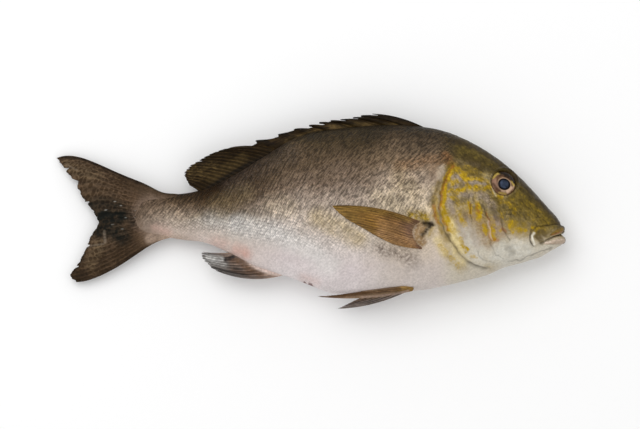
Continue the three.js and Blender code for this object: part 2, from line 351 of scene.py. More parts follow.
# Body: a cage of rings drawn out from the tail root to the snout, then smoothed

def ringPlaces():
    rear = np.linspace(trunk["length"] - 0.6, trunk["headEnd"], trunk["trunkRings"], endpoint=False)
    front = np.linspace(trunk["headEnd"], 0.5, trunk["headRings"] + 1)
    return np.concatenate([rear, front])


def makeCage():
    places = ringPlaces()
    middle, halfHeight, halfWidth = sectionAt(places)
    centres = toScene(np.stack([-places, middle, middleZ(places)], axis=-1))
    bpy.ops.object.select_all(action="DESELECT")
    bpy.ops.mesh.primitive_circle_add(vertices=trunk["sides"], radius=1, fill_type="NGON",
                                      location=centres[0], rotation=(0, math.pi / 2, 0))
    cage = bpy.context.object
    cage.name = "body"
    bpy.ops.object.mode_set(mode="EDIT")
    bpy.ops.mesh.select_all(action="SELECT")
    bpy.ops.transform.resize(value=(1, halfHeight[0] * mm, halfWidth[0] * mm), center_override=centres[0])
    for i in range(1, len(places)):
        onward = Vector(centres[i] - centres[i - 1])
        bpy.ops.mesh.extrude_region_move(TRANSFORM_OT_translate={"value": onward})
        size = (1, halfHeight[i] / halfHeight[i - 1], halfWidth[i] / halfWidth[i - 1])
        bpy.ops.transform.resize(value=size, center_override=centres[i])
    leaveEdit()
    bpy.ops.object.transform_apply(location=True, rotation=True, scale=True)
    smoothing = cage.modifiers.new("smooth", "SUBSURF")
    smoothing.levels = smoothing.render_levels = trunk["smoothing"]
    finishModifiers(cage)
    return cage


def bodyPlaces(points):
    # s and turn of each point of the smoothed cage, with the flat end caps rounded
    local = (points - np.array([snoutX, axisY, 0])) / mm
    s = -local[:, 0]
    frontEnd, rearEnd = s.min() + 0.02, s.max() - 0.02
    held = np.clip(s, frontEnd, rearEnd)
    middle, halfHeight, halfWidth = sectionAt(held)
    up = (local[:, 1] - middle) / halfHeight
    out = (local[:, 2] - middleZ(held)) / halfWidth
    share = np.clip(np.hypot(up, out), 0, 1)
    opened = share * openAt(held)
    front = (s <= frontEnd + 0.01) & (share < 0.98)
    rear = (s >= rearEnd - 0.01) & (share < 0.98)
    deep = 1 - np.sqrt(1 - opened ** 2)
    s = np.where(front, trunk["snoutRound"] * deep, s)
    s = np.where(rear, trunk["length"] - trunk["tailRootRound"] * deep, s)
    return s, np.arctan2(out, up)


# Head relief, all lines as [s, h] points

head = {
    "membraneEdge": [[99, 47], [105, 41], [111, 35], [114, 23], [119, 8], [117.5, 0], [111, -10], [104, -20]],
    "gillEdge": [[98, 47], [102, 43], [107, 34], [113, 17], [113.5, 8], [110, -4], [102, -23], [90, -38],
                 [83, -43], [73, -46], [62, -48]],
    "cheekEdge": [[90, 30], [88, 22], [85.5, 8], [84.5, -6], [82, -18], [79, -32], [73, -39.5], [64, -41.5]],
    "cheekRidge": [[76.5, 17], [75, 11.5], [72.5, 2.5], [70, -4.5], [68.5, -14], [67.5, -23]],
    "frontFold": [[60.5, 11], [56, -1.5], [52, -10], [49, -21]],
    "lowFold": [[68.5, -23], [64, -34], [56, -38]],
    "jawLine": [[52, -41], [43, -40], [36, -38], [22, -32.2], [10, -28.2]],
    "jawTop": [[31, -13], [26, -10.6], [20, -10.6], [14, -8.9], [8.5, -8.4], [2, -8.6]],
    "jawRear": [[31, -13], [31.8, -18], [31.4, -23.4], [29.2, -27], [24, -28.5]],
    "mouth": [[19.5, -23], [12, -19.8], [6, -17.9], [0, -17.4], [-3, -17.4]],
    "lowerLipEdge": [[20.5, -26.5], [10.5, -28.8], [3, -26.5], [0, -25.5]],
    "membraneRise": 0.9,
    "gillRise": 1.5,
    "gillGroove": 0.7,
    "cheekRise": 0.8,
    "ridgeRise": 0.7,
    "jawRise": 1.3,
    "lipRise": 0.6,
    "mouthDepth": 4.6,
}

eyeShape = {
    "s": 55.8,
    "h": 29.7,
    "radius": 13.0,
    "halfDepth": 7.6,
    "proud": 3.3,
    "shownRadius": 11.5,
    "pupilRadius": 5.6,
    "pupilLow": 1.9,
    "pupilBack": 0.5,
    "rimRise": 1.1,
    "rimWidth": 0.9,
    "socketDepth": 7.0,
}

nose = {"places": [[40.5, 24.5, 1.3, 1.0], [44.5, 28.0, 1.7, 1.2]], "depth": 1.6}


def plateRise(away, rise, run, sharp=0.7):
    # A bony plate that stands up at its rear edge and runs out forward
    return rise * smooth(-sharp, sharp, away) * (1 - smooth(0, run, away))


def eyeArc(radius, start, stop, steps=7):
    # Points on a circle round the eye, from one angle to another, 0 degrees at the snout's side
    angles = np.radians(np.linspace(start, stop, steps))
    middleS, middleH = eyeShape["s"], eyeShape["h"] + 0.7
    return [[middleS - radius * math.cos(angle), middleH + radius * math.sin(angle)] for angle in angles]


def groove(away, depth, width):
    return -depth * np.exp(-(away / width) ** 2)


def headRelief(s, h):
    rise = np.zeros(s.shape)
    _, membrane, membraneShare = toLine(s, h, head["membraneEdge"])
    onMembrane = smooth(0, 0.08, membraneShare) * (1 - smooth(0.9, 1, membraneShare))
    rise += plateRise(membrane, head["membraneRise"], 14) * onMembrane
    rise += groove(membrane + 0.9, 0.5, 1.1) * onMembrane
    _, gill, gillShare = toLine(s, h, head["gillEdge"])
    onGill = smooth(0, 0.06, gillShare) * (1 - smooth(0.93, 1, gillShare))
    rise += (plateRise(gill, head["gillRise"], 30) * onGill
             + groove(gill + 0.7, head["gillGroove"], 0.8) * onGill)
    _, cheek, cheekShare = toLine(s, h, head["cheekEdge"])
    onCheek = smooth(0, 0.15, cheekShare) * (1 - smooth(0.9, 1, cheekShare))
    rise += plateRise(cheek, head["cheekRise"], 16) * onCheek + groove(cheek + 0.6, 0.35, 0.8) * onCheek
    _, ridge, ridgeShare = toLine(s, h, head["cheekRidge"])
    onRidge = smooth(0, 0.2, ridgeShare) * (1 - smooth(0.9, 1, ridgeShare))
    rise += head["ridgeRise"] * np.exp(-((ridge - 0.5) / 1.0) ** 2) * onRidge
    rise += groove(ridge + 1.6, 0.9, 1.2) * onRidge
    for name, depth, width in (("frontFold", 0.5, 1.4), ("lowFold", 0.3, 1.1), ("jawLine", 0.8, 0.9)):
        away, _, share = toLine(s, h, head[name])
        rise += groove(away, depth, width) * smooth(0, 0.1, share) * (1 - smooth(0.85, 1, share))
    return rise


def mouthRelief(s, h):
    _, top, topShare = toLine(s, h, head["jawTop"])
    _, rear, rearShare = toLine(s, h, head["jawRear"])
    slitAway, slit, _ = toLine(s, h, head["mouth"])
    _, low, _ = toLine(s, h, head["lowerLipEdge"])
    near = 1 - smooth(31, 34, s)
    # The upper jaw bone and lip stand up between the top groove, the rear groove and the mouth
    above = smooth(-0.6, 1.2, -top) * smooth(-0.6, 1.4, rear) * smooth(-0.5, 0.5, slit)
    rise = head["jawRise"] * smooth(4, 18, s) * above * near
    rise += groove(top - 0.6, 0.7, 0.9) * near * smooth(0, 0.1, topShare)
    rise += groove(rear + 0.7, 0.9, 0.9) * near * (1 - smooth(0.85, 1, rearShare))
    # The lower lip
    below = smooth(-0.5, 1.0, low) * smooth(-0.4, 0.8, -slit) * (1 - smooth(17, 22, s))
    rise += head["lipRise"] * below
    rise += groove(low + 0.6, 0.6, 0.8) * (1 - smooth(17, 22, s))
    gape = mix(0.75, 1.5, 1 - smooth(0, 5, s))
    rise += groove(slitAway, head["mouthDepth"], gape) * (1 - smooth(17.5, 20, s))
    return rise


def eyeAway(s, h):
    return np.hypot(s - eyeShape["s"], h - eyeShape["h"])


def eyeRelief(s, h):
    away = eyeAway(s, h)
    shown = eyeShape["shownRadius"]
    rim = eyeShape["rimRise"] * np.exp(-((away - shown - 1.2) / eyeShape["rimWidth"]) ** 2)
    socket = -eyeShape["socketDepth"] * (1 - smooth(shown - 1.6, shown + 0.1, away))
    fold = -0.4 * np.exp(-((away - shown - 3.4) / 1.1) ** 2)
    return rim + socket + fold


def noseRelief(s, h):
    rise = np.zeros(s.shape)
    for placeS, placeH, long, tall in nose["places"]:
        away = np.hypot((s - placeS) / long, (h - placeH) / tall)
        rise += -nose["depth"] * (1 - smooth(0.6, 1.15, away)) + 0.35 * np.exp(-((away - 1.5) / 0.4) ** 2)
    return rise


def spotAt(s, h, spot):
    # 1 at a spot given as [s, h, length, height], fading to 0 round it
    return np.exp(-((s - spot[0]) / spot[2]) ** 2 - ((h - spot[1]) / spot[3]) ** 2)


def waves(points, size, seed, layers=3):
    # Soft uneven bumps, as sums of slanting waves in space
    draw = np.random.default_rng(seed)
    total = np.zeros(len(points))
    for _ in range(layers * 5):
        way = draw.normal(size=3)
        way /= np.linalg.norm(way)
        pace = 2 * math.pi / (size * draw.uniform(0.6, 1.6))
        total += np.sin(points @ way * pace + draw.uniform(0, 2 * math.pi))
    return total / (layers * 5) ** 0.5


flesh = {
    "slack": [146, 20, 40, 30], "slackLean": 0.55, "slackSizes": [7, 4.4], "slackRise": 0.8,
    "trunkRise": 0.16, "trunkSize": 22, "headRise": 0.12, "headSize": 8,
    "pleats": [211, -11, 8, 11], "pleatRise": 0.34, "pleatStep": 4.6, "pleatLean": 0.16, "pleatWaver": 9,
    "finLobe": [131.5, -17.5, 5.6, 10], "finLobeRise": 2.3, "finPit": [122.4, -8.2, 4.0, 2.2],
    "finPitDepth": 2.6,
    "crease": [[120, -8.6], [124, -11.4], [127, -14.4], [130, -18]], "creaseDepth": 1.2, "creaseWidth": 1.3,
    "finRoot": [131, -17, 8, 12], "cheekScales": [66.5, 14, 5, 7], "snoutScales": [52, 2, 6.5, 7],
    "vent": [229.6, 0, 2.2, 6.5], "rearVent": [235, 2, 1.3, 3.5],
}


def slackFolds(s, h, points):
    slanted = points * np.array([1.0, flesh["slackLean"], 1.0])
    coarse, fine = flesh["slackSizes"]
    return spotAt(s, h, flesh["slack"]) * (waves(slanted, coarse, 5) + 0.8 * waves(slanted, fine, 6))


def fleshRelief(s, h, points):
    # Slack wrinkled skin behind the gill cover, the fleshy root and pit of the chest fin
    rise = flesh["slackRise"] * slackFolds(s, h, points)
    rise += flesh["trunkRise"] * smooth(118, 150, s) * waves(points, flesh["trunkSize"], 8)
    rise += flesh["headRise"] * (1 - smooth(95, 120, s)) * waves(points, flesh["headSize"], 11)
    waver = waves(points, flesh["pleatWaver"], 12)
    pleats = np.sin(2 * math.pi * (s + flesh["pleatLean"] * h) / flesh["pleatStep"] + waver)
    rise += flesh["pleatRise"] * spotAt(s, h, flesh["pleats"]) * pleats
    rise += flesh["finLobeRise"] * spotAt(s, h, flesh["finLobe"])
    rise -= flesh["finPitDepth"] * spotAt(s, h, flesh["finPit"])
    away, _, share = toLine(s, h, flesh["crease"])
    return rise + groove(away, flesh["creaseDepth"], flesh["creaseWidth"]) * (1 - smooth(0.6, 1, share))


def sculptBody(piece):
    s, turn = bodyPlaces(readPoints(piece))
    points = bodyPoint(s, turn)
    step = 0.4
    behind, ahead = np.clip(s + step, 0, trunk["length"]), np.clip(s - step, 0.02, None)
    alongS = bodyPoint(behind, turn) - bodyPoint(ahead, turn)
    alongTurn = bodyPoint(s, turn + 0.02) - bodyPoint(s, turn - 0.02)
    outward = np.cross(alongTurn, alongS)
    length = np.linalg.norm(outward, axis=1)
    good = length > 1e-5
    outward[good] /= length[good][:, None]
    outward[~good] = np.array([1.0, 0, 0])
    centre = np.stack([-s, (backAt(s) + bellyAt(s)) / 2, middleZ(s)], axis=-1)
    wrong = np.einsum("ij,ij->i", outward, points - centre + np.array([[0.01, 0, 0]])) < 0
    outward[wrong] *= -1
    h = points[:, 1]
    rise = fleshRelief(s, h, points)
    front = s < 130
    rise[front] += headRelief(s[front], h[front])
    flat = np.abs(np.sin(turn)) > 0.25
    face = (s < 80) & flat
    rise[face] += eyeRelief(s[face], h[face]) + noseRelief(s[face], h[face])
    jaws = s < 36
    rise[jaws] += mouthRelief(s[jaws], h[jaws])
    points = points + outward * rise[:, None]
    points[:, 2] = np.maximum(points[:, 2], 0.02)
    writePoints(piece, toScene(points))
    return s, turn, h


# Paint: each layer is a colour with strokes on the skin, [s, h] points with a half width and a strength.
# soft is the width of a stroke's edge in mm, ragged how far noise of that grain breaks the edge up.

skinLayers = {
    "olive": {"colour": (88, 74, 30), "soft": 6, "ragged": 0.5, "grain": 90, "strokes": [
        [[[62, 42], [40, 24], [20, 2], [7, -6]], 9, 0.95], [[[46, 10], [30, 0], [18, -8]], 9, 0.85],
        [[[90, 60], [72, 50], [62, 44]], 7, 0.9], [[[72, 8], [62, 0], [54, -8]], 7, 0.4],
        [[[62, 12], [50, 4], [36, -6]], 7, 0.7], [[[92, 50], [76, 46], [66, 44]], 5, 0.6],
        [[[27, -15.5], [18, -14.5], [8, -12]], 3.2, 0.75]]},
    "mustard": {"colour": (148, 121, 30), "soft": 5, "ragged": 1.9, "grain": 190, "strokes": [
        [[[103, 44], [109, 30], [111, 14], [109, 0], [103, -14], [96, -26]], 3.6, 0.85],
        [[[104, 42], [92, 38], [78, 35], [68, 32]], 5, 0.45],
        [[[104, 24], [92, 26], [80, 24], [66, 23]], 5, 0.45], [[[98, 8], [86, 10], [78, 0]], 6, 0.35],
        [[[74, -4], [66, -18]], 5, 0.45], [[[62, 12], [52, 2], [42, -8]], 7, 0.3],
        [[[48, 16], [30, 2], [16, -8]], 6, 0.25], [[[50, -6], [40, -12]], 5, 0.6],
        [[[98, -14], [93, -27], [84, -36]], 5, 0.25], [[[113, -24], [105, -37], [94, -46]], 4, 0.4],
        [[[84, -38], [66, -45]], 4, 0.3], [[[118, 24], [119, 8], [115, -8], [110, -18]], 3.4, 0.45],
        [[[139, 2], [133, -0.6], [126, -3]], 4, 0.8], [[[121, -10], [124, -16]], 3, 0.4],
        [[[117, 14], [115.5, 0]], 2.6, 0.6], [[[104, 4], [100, -10]], 5, 0.45],
        [[[88, -4], [84, -14]], 5, 0.35], [[[152, 20], [140, 26], [128, 14]], 7, 0.12],
        [[[30, -13.4], [26, -12.4], [21.5, -12.6]], 1.6, 0.9]]},
    "butter": {"colour": (222, 202, 146), "soft": 4, "ragged": 0.9, "grain": 230, "strokes": [
        [[[105, -8], [102, -18], [97, -31]], 4, 0.95], [[[98, -34], [92, -40]], 3, 0.6],
        [[[116, -22], [110, -32]], 3, 0.45]]},
    "lilac": {"colour": (184, 168, 148), "soft": 3, "ragged": 1.0, "grain": 230, "strokes": [
        [[[111, 43], [115, 32], [118, 20]], 2.2, 0.75], [[[156, 12], [146, 6.5], [138, 8]], 4, 0.5],
        [[[90, -20], [84, -32], [78, -38]], 4, 0.4]]},
    "gill_flap": {"colour": (138, 114, 50), "soft": 1.8, "ragged": 0.8, "grain": 200, "strokes": [
        [[[114, 30], [118, 16], [118.4, 4], [114, -8], [106, -22]], 2.2, 0.65]]},
    "rust": {"colour": (128, 90, 56), "soft": 4, "ragged": 1.6, "grain": 380, "strokes": [
        [[[109, 53], [105, 49]], 3.5, 0.7], [[[150, 44], [128, 49], [112, 50]], 4, 0.35],
        [[[120, 42], [118, 34]], 3, 0.2], [[[84, 2], [82, -8]], 4, 0.3], [[[76, -14], [70, -22]], 7, 0.35],
        [[[64, -6], [60, -16]], 5, 0.35], [[[88, -2], [76, -8]], 6, 0.25]]},
    "ivory": {"colour": (206, 203, 192), "soft": 8, "ragged": 1.0, "grain": 230, "strokes": [
        [[[56, -29], [46, -28], [36, -28]], 4, 0.65], [[[62, -34], [46, -35], [34, -33]], 5, 0.65],
        [[[66, -38], [52, -40]], 4, 0.6], [[[30, -32], [14, -28]], 2.5, 0.3],
        [[[90, -14], [84, -28], [78, -38]], 6, 0.55], [[[72, 36], [66, 30]], 1.2, 0.2],
        [[[84, 28], [72, 27.5]], 0.8, 0.25]]},
    "fleshy": {"colour": (148, 120, 84), "soft": 3, "ragged": 1.1, "grain": 420, "strokes": [
        [[[130, -10.5], [132.6, -16], [131, -23]], 4.4, 0.95]]},
    "lobe_shade": {"colour": (112, 84, 64), "soft": 2.0, "ragged": 0.8, "grain": 420, "strokes": [
        [[[134.4, -8.4], [138.6, -13], [138.2, -20], [135, -26]], 1.1, 0.8],
        [[[129, -12], [132, -14]], 0.3, 0.4], [[[127.5, -21], [131, -24]], 0.3, 0.4]]},
    # silver_sheen: paler silvery skin on the lower rear flank, with a painted sheen over it
    "silver_sheen": {"colour": (214, 210, 206), "soft": 9, "ragged": 0.5, "grain": 60, "strokes": [
        [[[318, -4], [300, -9]], 5, 0.35], [[[296, -9], [262, -17], [232, -30], [212, -44]], 7, 0.65]]},
    "tan": {"colour": (188, 167, 128), "soft": 8, "ragged": 0.9, "grain": 70, "strokes": [
        [[[222, -2], [206, -10], [188, -20]], 7, 0.65], [[[250, 8], [262, 10]], 7, 0.25],
        [[[290, 20], [312, 8]], 8, 0.15], [[[168, 16], [150, 8]], 5, 0.3],
        [[[150, 34], [140, 18]], 7, 0.25]]},
    "blush": {"colour": (200, 156, 142), "soft": 6, "ragged": 0.6, "grain": 110, "strokes": [
        [[[296, -31], [288, -34]], 3.5, 0.7], [[[308, -26], [316, -24]], 4, 0.3],
        [[[368, -11], [359, -14]], 2.6, 0.35], [[[236, -56], [226, -60]], 3, 0.25]]},
    "pepper": {"colour": (96, 82, 72), "soft": 9, "ragged": 2.4, "grain": 430, "strokes": [
        [[[166, -30], [150, -34], [138, -40]], 4, 0.5], [[[150, 62], [120, 60]], 8, 0.15],
        [[[300, 30], [250, 56]], 8, 0.3]]},
    "ash": {"colour": (156, 140, 128), "soft": 2.4, "ragged": 1.2, "grain": 260, "strokes": [
        [[[102, 35], [96, 32.6]], 1.6, 0.7], [[[92, 29.4], [82, 28.8], [73, 28.2]], 1.2, 0.75],
        [[[99, 25], [93, 19.4], [86, 19]], 1.8, 0.65], [[[105, 13], [102, 3]], 2.2, 0.6],
        [[[92, -4], [84, -16], [80, -26]], 3, 0.4], [[[99, 49], [88, 46.6], [79, 45]], 1.5, 0.12],
        [[[78, 20], [70, 14], [66, 8]], 3, 0.5], [[[108, -12], [102, -26], [94, -38]], 2.0, 0.15],
        [[[98, -4], [92, -18]], 3, 0.4], [[[64, -2], [61, -14]], 2.4, 0.5]]},
    "yellow": {"colour": (174, 141, 20), "soft": 2.3, "ragged": 1.1, "grain": 330, "crisp": 1, "strokes": [
        [[[103.5, 40.5], [107.3, 33], [109.8, 24], [110.8, 15], [111.6, 8]], 2.2, 1],
        [[[111.8, 7], [109.4, 0], [106.6, -7], [102, -14]], 2.8, 0.95],
        [[[100, 41.5], [95, 40], [91.5, 37.4]], 2.4, 0.62], [[[103, 28.8], [98.6, 29.4]], 2.2, 0.7],
        [[[104.5, 21.5], [100, 19.8], [96, 22.6], [92, 23.3]], 2.1, 0.85],
        [[[92, 35], [90, 32]], 2.4, 0.8],
        [[[95, 36], [89, 33.2], [82, 33], [75, 31.8], [70, 31.2]], 2.0, 0.7],
        [[[91, 46], [84, 43], [78, 40], [73.6, 37.5]], 1.6, 0.36],
        [[[89, 27], [82, 24.4], [75, 25], [68, 25.4], [65, 22], [59, 17]], 2.4, 0.85],
        [[[103, 17], [99, 15], [96, 11]], 2.4, 0.6], [[[68, -1], [64, -8]], 2.2, 0.45],
        [[[76, 46], [67, 45]], 1.5, 0.3], [[[87.4, 11], [86, 3]], 1.8, 0.85],
        [[[69, 38], [66, 41]], 1.3, 0.3], [[[80, 11], [78.4, 3], [78.6, -3]], 2.4, 0.9],
        [[[95, -1], [91.4, -9]], 2.6, 0.65], [[[99, 10], [95, 3]], 2.0, 0.5],
        [[[92, 12], [90, 4]], 1.8, 0.45], [[[98, -12], [96, -14]], 1.6, 0.4],
        [[[74, -9], [71.8, -16]], 2.0, 0.8], [[[67.4, -13], [65.6, -20]], 2.4, 0.9],
        [[[61, -10], [59, -14]], 1.8, 0.55], [[[95.6, -22], [93, -26.5], [90, -30.5]], 2.2, 0.8],
        [[[86, -34.6], [82, -37]], 1.8, 0.45],
        [[[40, 19.6], [27.5, 7.2], [17, -1.7], [11.5, -5.3]], 0.6, 0.4],
        [[[44.5, 17.8], [32.8, 3.6], [22.2, -3.5], [15, -7]], 0.7, 0.4],
        [[[49, 15], [38, 2.7], [27.5, -4.4]], 0.8, 0.4], [[[60, 12.5], [52, 10.5], [46, 3]], 2.0, 0.6],
        [[[36, 8], [24, -3]], 1.2, 0.35], [[[30, -10], [26, -11.6]], 1.4, 0.7],
        [[[50.6, -5.3], [48.4, -14]], 2.3, 0.7], [[[45.2, -12], [37, -13.2]], 1.9, 0.65],
        [[[60, 4], [57, -2]], 2.0, 0.5], [[[113.6, -26.6], [107, -32]], 2.6, 0.45],
        [[[104, -37], [96, -45]], 2.8, 0.45], [[[138, 0.8], [133, -0.8], [127.5, -2.6]], 1.6, 0.5],
        [[[124, -3], [120, -5]], 1.2, 0.5], [[[120.5, -12], [123, -17]], 1.8, 0.45],
        [[[118.5, 6], [116, -2], [112, -9]], 1.6, 0.5], [[[72, -2], [70, 3]], 1.6, 0.4]]},
    "orange": {"colour": (152, 86, 32), "soft": 0.9, "ragged": 0.6, "grain": 500, "strokes": [
        [[[101, 44], [106, 37.5], [111, 24], [113, 13], [114.2, 6]], 0.7, 0.65],
        [[[119, 9], [118, 0], [115, -7]], 1.2, 0.45], [[[111, -3], [106, -14]], 0.6, 0.5],
        [[[71.6, 2], [69.5, -7], [68, -21]], 0.6, 0.6], [[[87, 10], [86.4, 2]], 0.5, 0.5],
        [[[80, 9], [79, 2]], 0.8, 0.5], [[[57, -12], [55, -14]], 1.2, 0.5],
        [[[66, -21], [62, -22]], 1.4, 0.5]]},
    # shade: dark markings on the crown and cheeks, and painted shade along the gill cover's edges, in the
    # chest fin's pit and crease, at the lips' front edges and under the brow above the eye
    "shade": {"colour": (52, 41, 22), "soft": 2.2, "ragged": 0.7, "grain": 260, "strokes": [
        [[[104, 68], [78, 60.5], [46, 37], [24, 15], [10, 1], [4, -6]], 3.0, 0.85],
        [[[94, 44], [88, 40]], 1.2, 0.35], [[[92, 28], [84, 28]], 1.2, 0.35],
        [[[86, 38], [78, 36]], 1.0, 0.45], [[[68, 34], [64, 28]], 1.2, 0.4],
        [[[74, 28], [70, 28.4]], 1.0, 0.4], [[[66, 6], [63, -2]], 2.2, 0.5],
        [[[102, 12], [97, 14]], 1.8, 0.4], [[[94, 14], [90, 16]], 1.6, 0.4],
        [[[84, 16], [82, 8]], 1.2, 0.4], [[[61, 14], [56, 8]], 2.0, 0.3],
        [[[38, 21.5], [24, 8], [12, -2.5]], 0.8, 0.6], [[[94, 4], [90, -2]], 1.6, 0.35],
        [[[42, 16], [30, 2.5], [20, -5]], 0.7, 0.5], [[[47, 11], [36, -1]], 0.7, 0.4],
        [[[52, 10], [42, -3]], 0.7, 0.4],
        [[[120, 12], [118, 20], [114, 30], [108, 40], [103, 46]], 0.9, 0.4],
        [[[76, 50], [66, 46], [58, 43]], 2.5, 0.4], [[[90, 52], [78, 44], [68, 41.5]], 3.4, 0.5],
        [[[76, 31], [69, 22]], 2.4, 0.3],
        [[[114.5, 5], [112, -5], [104, -23], [92, -39], [84, -44.5], [72, -47]], 0.8, 0.4],
        [[[52, -29], [49, -33]], 3.0, 0.28], [[[12, -3], [4, -9]], 2.4, 0.5],
        [[[4, -8], [1.4, -10.4], [0.2, -13.4], [1.6, -15.8]], 1.2, 0.8],
        [[[3, -18], [0.4, -21], [0.6, -24.6], [5, -27.4]], 0.8, 0.45],
        [[[128, -6.6], [121, -8]], 2.0, 0.8], [[[123, -10], [129.5, -17]], 1.6, 0.6],
        [eyeArc(14.2, 25, 140), 1.4, 0.5]]},
    "jaw": {"colour": (86, 71, 40), "soft": 1.5, "ragged": 0.6, "grain": 300, "strokes": [
        [[[26, -15], [25, -20], [22, -23.5]], 2.2, 0.8], [[[22, -14], [20, -17]], 2.0, 0.7]]},
    "orbit": {"colour": (172, 152, 112), "soft": 0.5, "ragged": 0.5, "grain": 300, "strokes": [
        [eyeArc(12.9, 150, 345), 0.35, 0.4]]},
    # line: thin dark lines of painted shade in the creases along the gill cover and cheek edges, the jaw
    # grooves, the chest fin's pit and crease, and round the eye's rim
    "line": {"colour": (34, 24, 14), "soft": 0.6, "ragged": 0.3, "grain": 500, "strokes": [
        [[[104, 41], [109, 32], [112.2, 23], [114.2, 13], [115, 5]], 0.5, 0.45],
        [[[113, -4], [104.6, -22], [92, -38], [84, -43.5], [73, -46]], 0.3, 0.5],
        [[[75.5, 11], [73.6, 3.6], [70, -3]], 0.6, 0.6], [[[87.8, 18], [86.4, 8], [85.4, -6]], 0.45, 0.5],
        [[[60.5, 5], [58.6, -5], [56, -14], [50.5, -22]], 0.5, 0.45],
        [[[52, -41], [43, -40], [36, -38], [22, -32.2], [12, -28.8]], 0.35, 0.4],
        [[[31.8, -13.5], [32.2, -18], [31.9, -23.5], [29.5, -27.2]], 0.6, 0.8],
        [[[31, -12.6], [26, -10], [20, -10], [14, -8.3], [8, -7.8]], 0.6, 0.7],
        [[[68.5, -23], [64, -34], [56, -38]], 0.3, 0.3],
        [[[79.5, -31], [79, -35], [74, -39.5], [64, -42]], 0.3, 0.25],
        [[[120.5, -8.8], [123.6, -11], [126.6, -14], [129.6, -17.4]], 0.9, 0.85],
        [[[127.8, -6.3], [124, -7], [120.4, -8.2]], 1.1, 0.95],
        [[[118, 14], [121, 20], [124, 24]], 0.5, 0.3], [eyeArc(12.0, 0, 360, 25), 0.4, 0.6]]},
    # pale_and_highlight: a white band on the jaw bone's rear, pale marks, and a painted highlight along the
    # cheek ridge's crest
    "pale_and_highlight": {"colour": (226, 220, 204), "soft": 0.8, "ragged": 0.5, "grain": 500, "strokes": [
        [[[29.8, -15], [30.2, -20], [29, -25.6]], 0.7, 0.95],
        [[[70.4, -5], [68.8, -14], [67.4, -21]], 0.4, 0.4], [[[45, -22], [41, -25]], 2.0, 0.3],
        [[[66.6, 24], [63, 18]], 0.7, 0.3]]},
}

skinLook = {
    # Colours from the back to the belly at five places along the fish
    "ramps": {
        "head": [[0.00, (56, 46, 28)], [0.14, (84, 70, 38)], [0.24, (112, 96, 58)],
                 [0.36, (150, 134, 100)], [0.60, (178, 160, 128)], [0.80, (196, 186, 166)],
                 [1.00, (196, 187, 171)]],
        "shoulder": [[0.00, (46, 38, 26)], [0.08, (76, 62, 45)], [0.21, (138, 116, 92)],
                     [0.31, (172, 153, 134)], [0.42, (201, 184, 164)], [0.54, (210, 192, 165)],
                     [0.72, (202, 186, 168)], [0.86, (197, 185, 176)], [1.00, (200, 190, 184)]],
        "trunk": [[0.00, (44, 36, 22)], [0.08, (70, 57, 38)], [0.21, (102, 84, 65)],
                  [0.31, (127, 108, 91)], [0.42, (174, 157, 142)], [0.54, (200, 185, 171)],
                  [0.70, (206, 195, 188)], [0.84, (206, 195, 194)], [1.00, (218, 209, 208)]],
        "rear": [[0.00, (34, 20, 6)], [0.12, (44, 29, 12)], [0.22, (60, 43, 24)], [0.31, (82, 63, 42)],
                 [0.42, (110, 94, 77)], [0.52, (132, 119, 101)], [0.62, (174, 164, 152)],
                 [0.84, (196, 182, 172)], [1.00, (210, 194, 186)]],
        "root": [[0.00, (44, 31, 17)], [0.11, (72, 56, 38)], [0.22, (100, 81, 62)],
                 [0.31, (140, 120, 100)], [0.42, (160, 141, 122)], [0.60, (177, 161, 145)],
                 [0.82, (188, 172, 160)], [1.00, (178, 158, 143)]],
    },
    "wormOlive": (132, 112, 50), "wormLilac": (160, 144, 132), "wormForce": 0.5, "blood": (84, 34, 26),
    "rough": (0.30, 0.55), "shine": 0.15, "glossTint": (1.0, 0.9, 0.76, 1.0),
    "tailColour": (112, 93, 77), "tailBlend": (354, 388),
    "headEnd": (98, 118), "shoulderEnd": (156, 194), "rearStart": (244, 306), "rootStart": (322, 352),
    "scaleLong": 3.2, "scaleTall": 2.9, "scaleBow": 0.55, "scaleWarp": 1.5,
    # painted shade behind each scale's edge and a painted highlight on the raised edge
    "gapShade": 0.50, "edgeHighlight": 1.26, "toneLow": 0.76, "toneHigh": 1.24,
}


def strokeMask(s, h, layer):
    total = np.zeros(s.shape)
    soft = layer["soft"]
    for points, halfWidth, strength in layer["strokes"]:
        spots = np.array(points, float)
        reach = halfWidth + soft + 1
        near = ((s > spots[:, 0].min() - reach) & (s < spots[:, 0].max() + reach)
                & (h > spots[:, 1].min() - reach) & (h < spots[:, 1].max() + reach))
        if near.any():
            away = toLine(s[near], h[near], points, 5)[0]
            amount = strength * (1 - smooth(halfWidth - soft * 0.6, halfWidth + soft, away))
            total[near] = np.maximum(total[near], amount)
    return total


def paintLayers(piece, s, h, layers):
    for name, layer in layers.items():
        paint(piece, name, strokeMask(s, h, layer))


def layered(tree, base, layers, place, late=False):
    for name, layer in layers.items():
        if layer.get("late", False) != late:
            continue
        mask = read(tree, name)
        cloud = maths(tree, "SUBTRACT", noise(tree, place, layer["grain"], 4, 0.6), 0.5)
        if layer.get("crisp"):
            broken = maths(tree, "ADD", mask, times(tree, cloud, layer["ragged"]))
            patchy = span(tree, noise(tree, place, layer["grain"] * 0.5, 3, 0.6), 0.34, 0.58, 0.45, 1.0)
            onPaint = times(tree, span(tree, broken, 0.22, 0.85), span(tree, mask, 0.02, 0.2))
            onPaint = times(tree, onPaint, patchy)
        else:
            broken = maths(tree, "ADD", times(tree, cloud, layer["ragged"] * 2), 1.0)
            onPaint = times(tree, mask, broken, clamp=True)
        base = blendColour(tree, onPaint, base, colour(*layer["colour"]))
    return base


